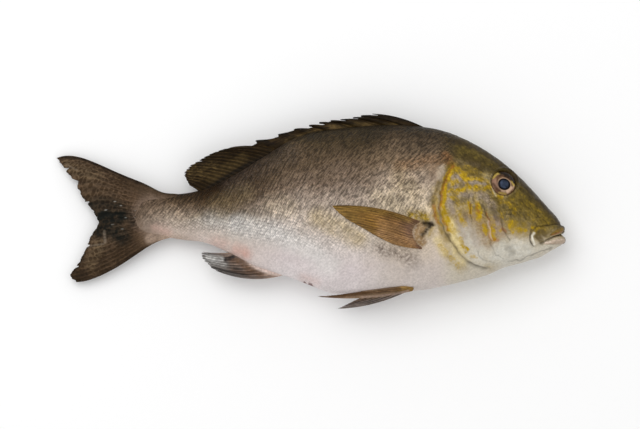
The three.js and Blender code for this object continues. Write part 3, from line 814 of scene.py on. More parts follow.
def paintBody(piece, s, turn, h):
    # lie: mm back and mm round from the back line; girth: 0 at the back to 1 at the belly
    _, halfHeight, halfWidth = sectionAt(s)
    share = np.abs(np.arctan2(np.sin(turn), np.cos(turn))) / math.pi
    quarter = (halfHeight ** 2 + halfWidth ** 2) ** 0.5 * 0.7
    squash = (halfHeight - halfWidth) / (halfHeight + halfWidth + 0.1)
    bend = share * math.pi - 0.5 * np.sin(2 * share * math.pi) * squash
    paint(piece, "lie", np.stack([s, bend * quarter, np.sign(np.sin(turn))], axis=-1))
    girth = np.clip((backAt(s) - h) / (backAt(s) - bellyAt(s)), 0, 1)
    paint(piece, "girth", girth)
    under = halfWidth * np.sin(turn) * (np.cos(turn) < 0) + 50 * (np.cos(turn) >= 0)
    vent = spotAt(s, under, flesh["vent"]) + 0.9 * spotAt(s, under, flesh["rearVent"])
    paint(piece, "vent", np.clip(vent * 1.9, 0, 1))
    # folds: the slack folds' heights, which the skin reads for painted shade in their valleys and painted
    # light on their crests
    paint(piece, "folds", slackFolds(s, h, bodyPoint(s, turn)))
    nape = smooth(96, 108, s) * smooth(40, 50, h)
    wrinkly = np.maximum(smooth(108, 134, s) * mix(1, 0.4, smooth(0.7, 0.85, girth)), nape)
    root = spotAt(s, h, flesh["finRoot"])
    paint(piece, "wrinkly", wrinkly * (1 - 0.9 * root))
    smoothBelly = smooth(0.66, 0.82, girth) * smooth(110, 140, s) * (1 - smooth(290, 330, s))
    scaly = wrinkly * mix(0.42, 0.72, smooth(190, 270, s)) * (1 - 0.9 * root)
    scaly = scaly * (1 - 0.8 * smooth(350, 386, s))
    cheek = spotAt(s, h, flesh["cheekScales"]) + spotAt(s, h, flesh["snoutScales"])
    paint(piece, "scaly", np.clip(scaly * (1 - 0.8 * smoothBelly) + cheek * 1.3, 0, 1.3))
    wobble, wobbleUp = waves(readPoints(piece) / mm, 7, 3), waves(readPoints(piece) / mm, 7, 4)
    paintLayers(piece, s + 0.6 * wobble, h + 0.6 * wobbleUp, skinLayers)


def scaleRows(tree, place, shift):
    # One of two sets of overlapping scales, each rising to a bowed rear edge, and a number for each scale
    apart = node(tree, "ShaderNodeSeparateXYZ", None, {0: place})
    along = maths(tree, "DIVIDE", apart.outputs[0], skinLook["scaleLong"])
    across = maths(tree, "ADD", maths(tree, "DIVIDE", apart.outputs[1], skinLook["scaleTall"]), shift)
    row = maths(tree, "FLOOR", across)
    off = maths(tree, "SUBTRACT", maths(tree, "SUBTRACT", across, row), 0.5)
    bow = times(tree, times(tree, off, off), 4 * skinLook["scaleBow"])
    bowed = maths(tree, "ADD", maths(tree, "ADD", along, shift), bow)
    number = maths(tree, "FLOOR", bowed)
    rise = maths(tree, "SUBTRACT", bowed, number)
    edge = times(tree, rise, span(tree, maths(tree, "ABSOLUTE", off), 0.5, 0.3))
    key = node(tree, "ShaderNodeCombineXYZ", None, {0: number, 1: row, 2: shift})
    tone = node(tree, "ShaderNodeTexWhiteNoise", {"noise_dimensions": "3D"}, {"Vector": key.outputs[0]})
    return edge, tone.outputs[0]


def skinMaterial():
    material, tree, skin = newMaterial("moist scaly skin")
    place = objectPlace(tree)
    lieAt = read(tree, "lie", "Vector")
    girth = read(tree, "girth")
    scaly, wrinkly = read(tree, "scaly"), read(tree, "wrinkly")
    apart = node(tree, "ShaderNodeSeparateXYZ", None, {0: lieAt})
    s = apart.outputs[0]

    # Base colour from back to belly, in five ramps along the fish, with an uneven edge
    cloud = maths(tree, "SUBTRACT", noise(tree, place, 28, 5, 0.6), 0.5)
    warped = maths(tree, "ADD", girth, times(tree, cloud, 0.24), clamp=True)
    made = {name: ramp(tree, warped, stops) for name, stops in skinLook["ramps"].items()}
    base = blendColour(tree, span(tree, s, *skinLook["headEnd"]), made["head"], made["shoulder"])
    base = blendColour(tree, span(tree, s, *skinLook["shoulderEnd"]), base, made["trunk"])
    base = blendColour(tree, span(tree, s, *skinLook["rearStart"]), base, made["rear"])
    base = blendColour(tree, span(tree, s, *skinLook["rootStart"]), base, made["root"])
    ragged = maths(tree, "ADD", s, times(tree, cloud, 44))
    tailward = span(tree, ragged, *skinLook["tailBlend"])
    base = blendColour(tree, tailward, base, colour(*skinLook["tailColour"]))

    # Head skin is mottled in clouds and a worm-like pattern, olive on beige
    headward = span(tree, s, 118, 98)
    worms = noise(tree, place, 170, 4, 0.6, 1.6)
    upward = times(tree, span(tree, girth, 0.9, 0.6), span(tree, girth, 0.12, 0.3))
    patterned = times(tree, headward, upward)
    olive = times(tree, span(tree, worms, 0.48, 0.62), patterned)
    lilac = times(tree, span(tree, worms, 0.46, 0.36), patterned)
    for worm, shade in ((olive, "wormOlive"), (lilac, "wormLilac")):
        base = blendColour(tree, times(tree, worm, skinLook["wormForce"]), base, colour(*skinLook[shade]))
    base = layered(tree, base, skinLayers, place)
    vent = read(tree, "vent")
    clotted = maths(tree, "SUBTRACT", noise(tree, place, 420, 3, 0.6), 0.5)
    clotted = span(tree, maths(tree, "ADD", vent, times(tree, clotted, 1.2)), 0.25, 1.0)
    bloody = times(tree, clotted, span(tree, vent, 0.02, 0.3))
    base = blendColour(tree, bloody, base, colour(*skinLook["blood"]))

    # Scales: two overlapping sets on a slightly uneven lattice
    shove = node(tree, "ShaderNodeTexNoise", None, {"Vector": place, "Scale": 240, "Detail": 2})
    centred = node(tree, "ShaderNodeVectorMath", {"operation": "SUBTRACT"},
                   {0: shove.outputs["Color"], 1: (0.5, 0.5, 0.5)})
    pushed = node(tree, "ShaderNodeVectorMath", {"operation": "MULTIPLY_ADD"},
                  {0: centred.outputs[0], 1: (skinLook["scaleWarp"] * 2,) * 3, 2: lieAt}).outputs[0]
    firstEdge, firstTone = scaleRows(tree, pushed, 0.0)
    secondEdge, secondTone = scaleRows(tree, pushed, 0.5)
    scales = maths(tree, "MAXIMUM", firstEdge, secondEdge)
    onTop = maths(tree, "GREATER_THAN", firstEdge, secondEdge)
    tone = node(tree, "ShaderNodeMix", None, {0: onTop, 2: secondTone, 3: firstTone}).outputs[0]
    toneShade = span(tree, tone, 0, 1, skinLook["toneLow"], skinLook["toneHigh"])
    # Painted shade in the gap behind each scale's rear edge and a painted highlight on its raised edge, with
    # a tone for each scale
    gap = span(tree, scales, 0.22, 0.62, skinLook["gapShade"], 1.0)
    lip = span(tree, scales, 0.6, 0.95, 1.0, skinLook["edgeHighlight"])
    scaleShade = times(tree, toneShade, times(tree, gap, lip))
    base = shaded(tree, base, scaleShade, times(tree, scaly, 0.9))

    # Dark ticks of painted shade and light along the fine slanted wrinkles that the bump also draws, and fine
    # grain
    ticks = noise(tree, stretch(tree, lieAt, (0.17, 0.52, 1.0), -0.9), 1.0, 3, 0.62)
    darkUp = span(tree, girth, 0.78, 0.35, 0.2, 1.0)
    tickShade = span(tree, ticks, 0.40, 0.58, 0.50, 1.28)
    base = shaded(tree, base, tickShade, times(tree, darkUp, wrinkly, clamp=True))
    grain = span(tree, noise(tree, place, 520, 4, 0.65), 0.34, 0.66, 0.76, 1.18)
    blotch = span(tree, noise(tree, place, 85, 4, 0.6), 0.3, 0.7, 0.9, 1.08)
    grainy = maths(tree, "MAXIMUM", wrinkly, span(tree, girth, 0.7, 0.3, 0.5, 0.9), clamp=True)
    aslant = stretch(tree, place, (1, 2.2, 1), 0.85)
    mottle = span(tree, noise(tree, aslant, 260, 4, 0.66), 0.38, 0.62, 0.72, 1.26)
    # Painted shade in the slack folds' valleys and painted light on their crests
    foldShade = span(tree, read(tree, "folds"), -1.3, 1.3, 0.74, 1.22)
    base = shaded(tree, base, foldShade)
    crown = times(tree, headward, span(tree, girth, 0.62, 0.4))
    base = shaded(tree, base, mottle, crown)
    base = shaded(tree, base, times(tree, grain, blotch), grainy)

    tree.links.new(base, skin.inputs["Base Color"])
    rough = span(tree, noise(tree, place, 110, 4, 0.6), 0.3, 0.7, *skinLook["rough"])
    tree.links.new(rough, skin.inputs["Roughness"])
    skin.inputs["Specular IOR Level"].default_value = skinLook["shine"]
    skin.inputs["Specular Tint"].default_value = skinLook["glossTint"]

    scaleBump = bump(tree, times(tree, scales, scaly), 0.0009, 1.0)
    wrinkles = times(tree, ticks, times(tree, darkUp, wrinkly))
    skinBump = bump(tree, wrinkles, 0.0028, 1.0, scaleBump)
    skinBump = bump(tree, noise(tree, place, 260, 4, 0.62), 0.0006, 0.8, skinBump)
    tree.links.new(skinBump, skin.inputs["Normal"])
    return material


# Eyes

eyeLayers = {
    "iris_pink": {"colour": (148, 114, 94), "soft": 1.2, "ragged": 0.5, "grain": 900, "strokes": [
        [[[-8.9, 1.5], [-8, -4]], 1.8, 0.8]]},
    "iris_low": {"colour": (78, 54, 38), "soft": 0.9, "ragged": 0.5, "grain": 900, "strokes": [
        [[[-9.8, -2], [-6.6, -6.6], [-2.4, -8.8], [2, -9.6]], 0.9, 0.9],
        [[[-6, 4.4], [-6.4, -2], [-4.4, -6]], 0.6, 0.6]]},
    "cream": {"colour": (206, 174, 146), "soft": 1.0, "ragged": 0.5, "grain": 900, "strokes": [
        [[[6.8, -4.2], [3.4, -7.8]], 1.4, 0.9], [[[9.6, -1.6], [8.6, -4]], 0.8, 0.6],
        [[[-2, -8], [1, -8.6]], 0.6, 0.5]]},
    "gold": {"colour": (186, 160, 80), "soft": 1.0, "ragged": 0.5, "grain": 900, "strokes": [
        [[[-10, 4.4], [-7.2, 7.8], [-3.4, 9.6]], 1.2, 0.85], [[[7.4, 2.2], [9.6, -0.4]], 1.2, 0.9],
        [[[-4, -9.8], [2, -10.2]], 0.7, 0.5]]},
    # dark_iris_and_brow_shadow: dark iris at the eye's upper part, under painted shadow from the brow
    "dark_iris_and_brow_shadow": {"colour": (24, 16, 8), "soft": 1.3, "ragged": 0.5, "grain": 900, "strokes": [
        [[[-2.4, 10.4], [3.4, 8.8], [8.6, 5.6], [10.6, 3]], 2.4, 1.0],
        [[[0.6, 6.8], [4.4, 5.4], [7.4, 3.6]], 1.4, 0.9], [[[-5, 5.4], [-2.6, 7], [0.6, 7]], 0.8, 0.6]]},
}


def eyeFacing(side):
    step = eyeShape["radius"] / 2
    s, h = eyeShape["s"], eyeShape["h"]
    alongS = (flankZ(s - step, h) - flankZ(s + step, h)) / (2 * step)
    alongH = (flankZ(s, h + step) - flankZ(s, h - step)) / (2 * step)
    return Vector((-float(alongS), -float(alongH), side)).normalized()


def makeEye(side, name, nodeName, material):
    s, h = eyeShape["s"], eyeShape["h"]
    facing = eyeFacing(side)
    ahead = (Vector((1, 0, 0)) - facing * facing.x).normalized()
    frameTurn = np.stack([ahead, facing.cross(ahead), facing])
    surface = toScene(np.array([-s, h, float(middleZ(s) + side * flankZ(s, h))]))
    # The bulge shows over the socket's middle, so the ball sits a little lower than its normal asks
    lean = np.array([facing.x, facing.y, 0]) * eyeShape["proud"] * 0.6
    centre = surface + (np.array(facing) * (eyeShape["proud"] - eyeShape["halfDepth"]) - lean) * mm
    bpy.ops.object.select_all(action="DESELECT")
    bpy.ops.mesh.primitive_uv_sphere_add(segments=96, ring_count=64, radius=1, location=(0, 0, 0))
    ball = bpy.context.object
    ball.name = name
    points = readPoints(ball)
    eyePlace = points * np.array([eyeShape["radius"], eyeShape["radius"], eyeShape["halfDepth"]])
    ringPlace = np.hypot(eyePlace[:, 0], eyePlace[:, 1])
    # The pupil sits low, is drawn out a little towards the snout, and its lens swells
    low = eyePlace[:, 1] * side + eyeShape["pupilLow"]
    ahead = eyePlace[:, 0] + eyeShape["pupilBack"]
    clock = np.arctan2(low, ahead)
    pupilPlace = np.hypot(ahead, low) / (1 + 0.16 * np.clip(np.cos(clock), 0, 1) ** 2)
    swell = 0.35 * (1 - smooth(eyeShape["pupilRadius"] - 1.0, eyeShape["pupilRadius"] + 0.5, pupilPlace))
    eyePlace[:, 2] += np.where(eyePlace[:, 2] > 0, swell, 0)
    paint(ball, "ring", ringPlace)
    paint(ball, "pupil", pupilPlace)
    paint(ball, "eyePlace", eyePlace * np.array([1, side, side]))
    paintLayers(ball, eyePlace[:, 0], eyePlace[:, 1] * side, eyeLayers)
    writePoints(ball, eyePlace * mm @ frameTurn + centre)
    settle(ball, material, nodeName)


eyeLook = {
    "iris": [[0.32, (58, 38, 24)], [0.50, (106, 77, 54)], [0.66, (148, 115, 88)]],
    "lens": [[0.35, (24, 29, 40)], [0.62, (62, 72, 92)]],
    "innerRing": (182, 152, 126), "pupilEdge": (6, 5, 6), "rim": (60, 42, 24),
    "rough": 0.25, "shine": 0.05, "coat": 0.05, "coatRough": 0.05,
}


def eyeMaterial():
    material, tree, eye = newMaterial("wet copper eye")
    where = read(tree, "eyePlace", "Vector")
    ring, pupil = read(tree, "ring"), read(tree, "pupil")
    streaks = noise(tree, where, 0.9, 5, 0.65, 0.6)
    edge = eyeShape["pupilRadius"]
    iris = ramp(tree, streaks, eyeLook["iris"])
    innerRing = span(tree, pupil, edge + 1.1, edge + 0.5, 0, 0.6)
    iris = blendColour(tree, innerRing, iris, colour(*eyeLook["innerRing"]))
    iris = layered(tree, iris, eyeLayers, objectPlace(tree))
    lens = ramp(tree, noise(tree, where, 0.22, 3, 0.5), eyeLook["lens"])
    shade = blendColour(tree, span(tree, pupil, edge + 0.1, edge - 0.4), iris, colour(*eyeLook["pupilEdge"]))
    shade = blendColour(tree, span(tree, pupil, edge - 1.0, edge - 2.6), shade, lens)
    rimDark = span(tree, ring, eyeShape["shownRadius"] - 1.0, eyeShape["shownRadius"] + 0.2)
    shade = blendColour(tree, times(tree, rimDark, 0.6), shade, colour(*eyeLook["rim"]))
    tree.links.new(shade, eye.inputs["Base Color"])
    eye.inputs["Roughness"].default_value = eyeLook["rough"]
    eye.inputs["Specular IOR Level"].default_value = eyeLook["shine"]
    eye.inputs["Coat Weight"].default_value = eyeLook["coat"]
    eye.inputs["Coat Roughness"].default_value = eyeLook["coatRough"]
    tree.links.new(bump(tree, noise(tree, where, 1.2, 3, 0.6), 0.0001, 0.4), eye.inputs["Normal"])
    return material


# Lips: rods drawn out straight, then bent round the mouth from corner to corner

lips = {
    "upper_lip": {"front": [3.2, -12.0], "corner": [21, -20.6], "height": [3.0, 1.4], "thick": [2.6, 1.5],
                  "droop": 0.3, "sink": 0.7},
    "lower_lip": {"front": [2.6, -22.2], "corner": [20, -24.7], "height": [3.4, 1.1], "thick": [2.7, 1.2],
                  "droop": -0.3, "sink": 0.8},
}

lipLayers = {
    "lip_olive": {"colour": (84, 68, 25), "soft": 2, "ragged": 0.8, "grain": 300, "strokes": [
        [[[0, -9], [6, -11], [14, -15], [20, -18]], 3.0, 0.95]]},
    "lip_gold": {"colour": (146, 112, 38), "soft": 1.4, "ragged": 0.8, "grain": 300, "strokes": [
        [[[3.6, -12.6], [8, -14.4], [12, -15.6]], 1.4, 0.5]]},
    "lip_orange": {"colour": (164, 92, 48), "soft": 0.8, "ragged": 0.6, "grain": 400, "strokes": [
        [[[19, -21.6], [12, -18.4], [6, -16.2], [3, -15.4]], 1.0, 0.8]]},
    "lip_tan": {"colour": (168, 140, 106), "soft": 0.9, "ragged": 0.6, "grain": 400, "strokes": [
        [[[16, -11], [11.4, -9.8]], 0.8, 0.8]]},
    # lip_pale_and_highlight: a painted highlight along the lower lip, and its pale tone nearer the front
    "lip_pale_and_highlight": {"colour": (216, 198, 180), "soft": 1.2, "ragged": 0.5, "grain": 300, "strokes": [
        [[[18.6, -24], [14.2, -23.6]], 0.8, 0.95], [[[12, -22.4], [4, -20.6]], 1.4, 0.35]]},
    "lip_shade": {"colour": (38, 28, 16), "soft": 0.7, "ragged": 0.4, "grain": 400, "strokes": [
        [[[21, -23.4], [12, -19.8], [6, -17.4], [2, -16.8]], 0.6, 0.85],
        [[[18.4, -15], [13.6, -12], [10, -10.8]], 0.5, 0.7],
        [[[13, -26.4], [5, -26.6], [0.6, -24.6], [0, -21], [2.4, -18]], 0.6, 0.5],
        [[[4, -8.4], [1, -10.4], [0, -13.4], [1.6, -15.8]], 0.9, 0.8]]},
}


def makeLip(name, lip, material):
    rings, sides = 40, 12
    bpy.ops.object.select_all(action="DESELECT")
    bpy.ops.mesh.primitive_circle_add(vertices=sides, radius=1, fill_type="NGON", location=(0, 0, 0),
                                      rotation=(0, math.pi / 2, 0))
    rod = bpy.context.object
    rod.name = name
    bpy.ops.object.mode_set(mode="EDIT")
    bpy.ops.mesh.select_all(action="SELECT")
    for i in range(rings):
        bpy.ops.mesh.extrude_region_move(TRANSFORM_OT_translate={"value": (1, 0, 0)})
    leaveEdit()
    bpy.ops.object.transform_apply(location=True, rotation=True, scale=True)
    smoothing = rod.modifiers.new("smooth", "SUBSURF")
    smoothing.levels = smoothing.render_levels = 2
    finishModifiers(rod)
    points = readPoints(rod)
    across = np.clip(points[:, 0] / rings, 0, 1) * 2 - 1
    back = across ** 2
    share = np.clip(np.hypot(points[:, 1], points[:, 2]) * 1.01, 0, 1)
    turn = np.arctan2(points[:, 2], points[:, 1])

    def middleLine(t):
        part = t ** 2
        s = mix(lip["front"][0], lip["corner"][0], part)
        h = mix(lip["front"][1], lip["corner"][1], part) + lip["droop"] * 4 * part * (1 - part)
        rounded = np.sqrt(1 - (1 - np.clip((s - lip["front"][0]) / 13, 0, 1)) ** 2)
        out = trunk["halfWidth"] * widthAt(s) * rounded - lip["sink"] * rounded
        return np.stack([-s, h, middleZ(s) + np.sign(t) * out], axis=-1)

    middle = middleLine(across)
    run = middleLine(np.clip(across + 0.02, -1, 1)) - middleLine(np.clip(across - 0.02, -1, 1))
    run /= np.linalg.norm(run, axis=1)[:, None]
    up = np.array([0, 1.0, 0]) - run * run[:, 1:2]
    up /= np.linalg.norm(up, axis=1)[:, None]
    outward = np.cross(up, run)
    outward *= np.where(outward[:, 0] + outward[:, 2] * np.sign(across) < 0, -1, 1)[:, None]
    height, thick = mix(*lip["height"], back), mix(*lip["thick"], back)
    crease = 1 + 0.03 * np.sin(across * 55) * (1 - back)
    points = (middle + up * (height * share * np.cos(turn) * crease)[:, None]
              + outward * (thick * share * np.sin(turn) * crease)[:, None])
    writePoints(rod, toScene(points))
    bpy.ops.object.mode_set(mode="EDIT")
    leaveEdit()
    paintLayers(rod, -points[:, 0], points[:, 1], lipLayers)
    paint(rod, "lipTone", np.full(len(points), 0.0 if name == "upper_lip" else 1.0))
    settle(rod, material, "fish")


lipLook = {"upper": (94, 77, 38), "lower": (176, 156, 136), "rough": 0.34, "shine": 0.2}


def lipMaterial():
    material, tree, skin = newMaterial("soft lip skin")
    place = objectPlace(tree)
    base = blendColour(tree, read(tree, "lipTone"), colour(*lipLook["upper"]), colour(*lipLook["lower"]))
    base = layered(tree, base, lipLayers, place)
    grain = span(tree, noise(tree, place, 480, 4, 0.6), 0.32, 0.68, 0.78, 1.12)
    base = shaded(tree, base, grain)
    tree.links.new(base, skin.inputs["Base Color"])
    skin.inputs["Roughness"].default_value = lipLook["rough"]
    skin.inputs["Specular IOR Level"].default_value = lipLook["shine"]
    tree.links.new(bump(tree, noise(tree, place, 420, 4, 0.6), 0.0004, 0.7), skin.inputs["Normal"])
    return material


# Fins: a grid bent to fan from its root line to its tip line, then given a wall that follows its rays

def makeFin(name, fin, material, layers):
    rays, columns, rows = fin["rays"], fin["rays"] * fin["perRay"], fin["rows"]
    bpy.ops.object.select_all(action="DESELECT")
    bpy.ops.mesh.primitive_grid_add(x_subdivisions=columns, y_subdivisions=rows, size=2, location=(0, 0, 0))
    sheet = bpy.context.object
    sheet.name = name
    grid = readPoints(sheet)
    u, v = (grid[:, 0] + 1) / 2, (grid[:, 1] + 1) / 2
    draw = np.random.default_rng(fin["seed"])
    onRay = (1 + np.cos(u * rays * 2 * math.pi)) / 2
    # Each ray ends at its own length, and the web between rays is notched and frayed
    own = draw.uniform(-1, 1, rays + 1)
    rayLength = 1 - fin["fray"] * (0.5 + 0.5 * np.interp(u * rays, np.arange(rays + 1), own))
    webWear = draw.uniform(0.15, 1.0, rays + 1)[np.clip((u * rays).astype(int), 0, rays)]
    nick = fin["notch"] * (1 - onRay ** fin["spike"]) * webWear
    nick = nick + fin["nibble"] * np.abs(np.sin(u * rays * 9.7) * np.sin(u * rays * 5.3 + 1))
    for place, deep, wide in fin["tears"]:
        nick = nick + deep * np.clip(1 - np.abs(u - place) / wide, 0, 1)
    reach = v * (rayLength - nick * smooth(0.3, 1.0, v))
    rootS, rootH = alongPath(fin["root"])(u)
    tipS, tipH = alongPath(fin["tips"])(u)
    bow = 4 * reach ** fin["bowLean"] * (1 - reach) * mix(fin["bow"][0], fin["bow"][1], u)
    s = mix(rootS, tipS, reach) + bow * fin["bowTo"][0]
    h = mix(rootH, tipH, reach) + bow * fin["bowTo"][1]
    for amount, place, wide, edge, run in fin.get("dips", []):
        h = h + amount * np.exp(-((reach - place) / wide) ** 2) * np.clip(1 - np.abs(u - edge) / run, 0, 1)
    z = fin["middle"](s, h, reach, u)
    writePoints(sheet, toScene(np.stack([-s, h, z], axis=-1)))
    long = np.hypot(tipS - rootS, tipH - rootH)
    paint(sheet, "ray", np.stack([u * rays, reach, reach * long], axis=-1))
    paintLayers(sheet, s, h, layers)
    ridged = mix(1.0, fin["web"], smooth(fin["ridgeStart"], fin["ridgeStart"] + 0.25, reach))
    thin = mix(fin["thick"][0], fin["thick"][1], reach ** fin["thinning"]) * mix(ridged, 1.0, onRay ** 0.7)
    thin *= mix(0.35, 1.0, smooth(0, 0.05, u) * (1 - smooth(0.95, 1, u)))
    group = sheet.vertex_groups.new(name="thickness")
    for i, weight in enumerate(np.clip(thin / fin["thick"][0], 0.03, 1)):
        group.add([i], float(weight), "REPLACE")
    wall = sheet.modifiers.new("wall", "SOLIDIFY")
    wall.thickness = fin["thick"][0] * mm
    wall.offset = 0
    wall.vertex_group = "thickness"
    finishModifiers(sheet)
    sheet.vertex_groups.clear()
    bpy.ops.object.mode_set(mode="EDIT")
    leaveEdit()
    settle(sheet, material, "fish")


tailFin = {
    "rays": 21, "perRay": 11, "rows": 96, "seed": 21, "fray": 0.008, "notch": 0.018, "spike": 0.5,
    "nibble": 0.006,
    "tears": [[0.115, 0.03, 0.012], [0.21, 0.03, 0.03], [0.335, 0.05, 0.010], [0.68, 0.035, 0.012],
        [0.83, 0.03, 0.010]],
    "root": [[342, 18.2], [354, 9], [358, 0], [354, -10], [342, -19.6]],
    "tips": [[460, 51.4], [453, 43], [444.5, 31], [435.5, 15.5], [427, 4], [421.5, -6.5], [428, -18],
        [433, -30],
             [439.5, -43], [447, -53.5], [442, -60]],
    "bow": [23, -11], "bowLean": 4, "bowTo": [0, 1],
    "dips": [[-3.2, 0.18, 0.10, 0, 0.3], [6.5, 0.25, 0.25, 1, 0.45]],
    "thick": [6.4, 1.0], "thinning": 0.6, "web": 0.6, "ridgeStart": 0.3,
    "middle": lambda s, h, reach, u: (
        middleZ(s) + (1.2 * np.sin(h * 0.06) + 0.5 * np.sin(h * 0.21 + 1)) * smooth(380, 450, s)),
}

spinyFin = {
    "rays": 10, "perRay": 16, "rows": 36, "seed": 4, "fray": 0.05, "notch": 0.26, "spike": 2.5,
    "nibble": 0.02, "tears": [],
    "root": [[112, 70], [160, 73], [210, 69], [262, 51]],
    "tips": [[177, 91.5], [199, 87], [223, 83.5], [251, 76], [300, 62.5]],
    "bow": [5.5, 1], "bowLean": 1, "bowTo": [0, 1],
    "thick": [5.5, 1.4], "thinning": 1, "web": 0.4, "ridgeStart": 0.0,
    "middle": lambda s, h, reach, u: middleZ(s) + 0.9 * np.sin(u * 37),
}

softFin = {
    "rays": 16, "perRay": 10, "rows": 56, "seed": 9, "fray": 0.03, "notch": 0.04, "spike": 0.5,
    "nibble": 0.035,
    "tears": [[0.42, 0.06, 0.02], [0.75, 0.04, 0.015]],
    "root": [[252, 56], [288, 38], [326, 18]],
    "tips": [[303, 61], [322, 55], [338, 45.5], [344, 37], [339, 27.5]],
    "bow": [4, 1], "bowLean": 1, "bowTo": [0.2, 1],
    "thick": [5, 1.2], "thinning": 1, "web": 0.5, "ridgeStart": 0.1,
    "middle": lambda s, h, reach, u: middleZ(s) + 1.5 * reach + 0.4 * np.sin(u * 29) * reach,
}

analFin = {
    "rays": 9, "perRay": 16, "rows": 56, "seed": 14, "fray": 0.05, "notch": 0.16, "spike": 0.5,
    "nibble": 0.01,
    "tears": [[0.94, 0.10, 0.05], [0.8, 0.12, 0.04]],
    "root": [[246, -51], [275, -43], [298, -33]],
    "tips": [[318, -48], [325, -42], [329.5, -36], [328, -32.5]],
    "bow": [-7.5, -1], "bowLean": 1, "bowTo": [0, 1],
    "thick": [5, 1.0], "thinning": 1, "web": 0.5, "ridgeStart": 0.16,
    "middle": lambda s, h, reach, u: middleZ(s) + 2 * reach + 0.6 * np.sin(u * 21) * reach,
}

rightPelvic = {
    "rays": 6, "perRay": 16, "rows": 56, "seed": 31, "fray": 0.03, "notch": 0.07, "spike": 0.5,
    "nibble": 0.01, "tears": [],
    "root": [[138, -67.8], [137, -65.2], [140, -63]],
    "tips": [[226.5, -72.4], [212, -71.6], [198, -70.2]],
    "bow": [-4, 0.3], "bowLean": 1, "bowTo": [0, 1],
    "thick": [4, 1.0], "thinning": 1, "web": 0.45, "ridgeStart": 0.0,
    "middle": lambda s, h, reach, u: (
        middleZ(s) + np.maximum(11.5, flankZ(s, h) + 2.6 * smooth(0, 0.12, reach) - 1.6)),
}

leftPelvic = {
    "rays": 6, "perRay": 16, "rows": 56, "seed": 33, "fray": 0.03, "notch": 0.07, "spike": 0.5,
    "nibble": 0.01, "tears": [],
    "root": [[133, -63.6], [152, -58]],
    "tips": [[207.5, -84], [200, -81], [188, -75.5]],
    "bow": [-5, -1], "bowLean": 1, "bowTo": [0, 1],
    "thick": [4, 1.0], "thinning": 1, "web": 0.45, "ridgeStart": 0.0,
    "middle": lambda s, h, reach, u: middleZ(s) - 10,
}


def chestFin(side):
    def onFlank(s, h, reach, u):
        proud = mix(1.7, 0.9, reach) - 3.0 * (1 - smooth(0.0, 0.08, reach))
        return np.maximum(middleZ(s) + side * (flankZ(s, h) + proud), 0.5)
    return {
        "rays": 15, "perRay": 10, "rows": 72, "seed": 41, "fray": 0.02, "notch": 0.012, "spike": 0.5,
        "nibble": 0.006, "tears": [],
        "root": [[128.6, -6.4], [134.8, -8.8], [136.8, -15], [135.4, -22.6], [132, -27.4], [128.4, -29.8]],
        "tips": [[203, 9.2], [211, 8.4], [205, 2.5], [196.8, -3.6], [184, -10.8], [172, -17.6], [157, -25.2]],
        "bow": [4.4, -1.0], "bowLean": 1, "bowTo": [0, 1],
        "thick": [2.6, 0.7], "thinning": 1, "web": 0.3, "ridgeStart": 0.05,
        "middle": onFlank,
    }


tailLayers = {
    "mauve": {"colour": (122, 103, 89), "soft": 8, "ragged": 0.5, "grain": 120, "strokes": [
        [[[370, -14], [379, -6], [379, 6], [370, 14]], 5, 0.8], [[[350, 0], [376, 0]], 13, 0.9]]},
    "tail_flesh": {"colour": (176, 154, 136), "soft": 3, "ragged": 0.4, "grain": 160, "strokes": [
        [[[340, -20], [352, -20], [364, -20]], 3, 0.75], [[[350, -13], [364, -16], [374, -21]], 4, 0.5]]},
    "tail_low": {"colour": (64, 49, 34), "soft": 8, "ragged": 0.6, "grain": 120, "strokes": [
        [[[390, -30], [416, -42], [440, -54]], 9, 0.75]]},
    "soot": {"colour": (20, 21, 17), "soft": 7, "ragged": 1.0, "grain": 230, "late": True, "strokes": [
        [[[424, -2], [412, -1], [400, 0]], 6, 0.98], [[[420, -13], [408, -13], [399, -19]], 6, 0.85],
        [[[430, 9], [416, 11], [404, 9]], 4, 0.7], [[[398, 4], [390, -6]], 5, 0.5]]},
    "tail_tan": {"colour": (110, 92, 68), "soft": 4, "ragged": 1.2, "grain": 240, "strokes": [
        [[[420, -26], [428, -44]], 4, 0.4], [[[450, 45], [430, 36]], 4, 0.4],
        [[[438, 40], [420, 36]], 4, 0.3]]},
    "tail_top": {"colour": (72, 56, 40), "soft": 5, "ragged": 0.5, "grain": 160, "strokes": [
        [[[344, 19], [362, 19.6], [384, 26], [404, 33]], 3, 0.85]]},
    "tail_edge": {"colour": (30, 21, 12), "soft": 1.8, "ragged": 0.6, "grain": 200, "late": True,
     "strokes": [
        [[[460, 53], [452, 53], [437, 51.5], [423, 46.5], [412, 41.5], [400, 36.4], [389, 31.6],
          [374, 26.6], [363, 21.6]], 1.4, 0.8],
        [[[437, -59], [425, -57], [416, -52.5], [406, -47], [393, -38.5], [381.7, -31.8],
          [371, -26.4]], 1.2, 0.6], [[[447, -54], [440, -44], [434, -30], [428, -16]], 2.0, 0.7],
        [[[444, -56], [434, -54]], 4, 0.6], [[[456, 46], [447, 33], [436, 18], [424, 0]], 1.0, 0.5],
        [[[363, 21], [350, 19]], 1.2, 0.6]]},
    "scar": {"colour": (140, 126, 110), "soft": 0.8, "ragged": 0.9, "grain": 600, "late": True, "strokes": [
        [[[415.6, -14], [414.8, -24]], 1.0, 0.42], [[[430, -27.5], [416, -25.5]], 0.6, 0.36],
        [[[450, 46], [440, 41]], 0.3, 0.4]]},
    # painted_glints: small painted highlights on the tail fin's rays
    "painted_glints": {"colour": (176, 176, 168), "soft": 0.5, "ragged": 0.8, "grain": 700, "late": True,
     "strokes": [
        [[[415, 5], [413.5, 5.2]], 0.2, 0.7], [[[406.4, 12.6], [405.4, 12.8]], 0.2, 0.6],
        [[[401, 9], [400, 9]], 0.2, 0.7], [[[397, -1.8], [395.6, -1.8]], 0.2, 0.6],
        [[[388, 4.5], [387, 4.5]], 0.1, 0.5], [[[388, -1.8], [386.6, -1.8]], 0.2, 0.6],
        [[[409, -8], [407, -7.8]], 0.1, 0.5], [[[400, -12], [398.6, -12]], 0.2, 0.5]]},
}

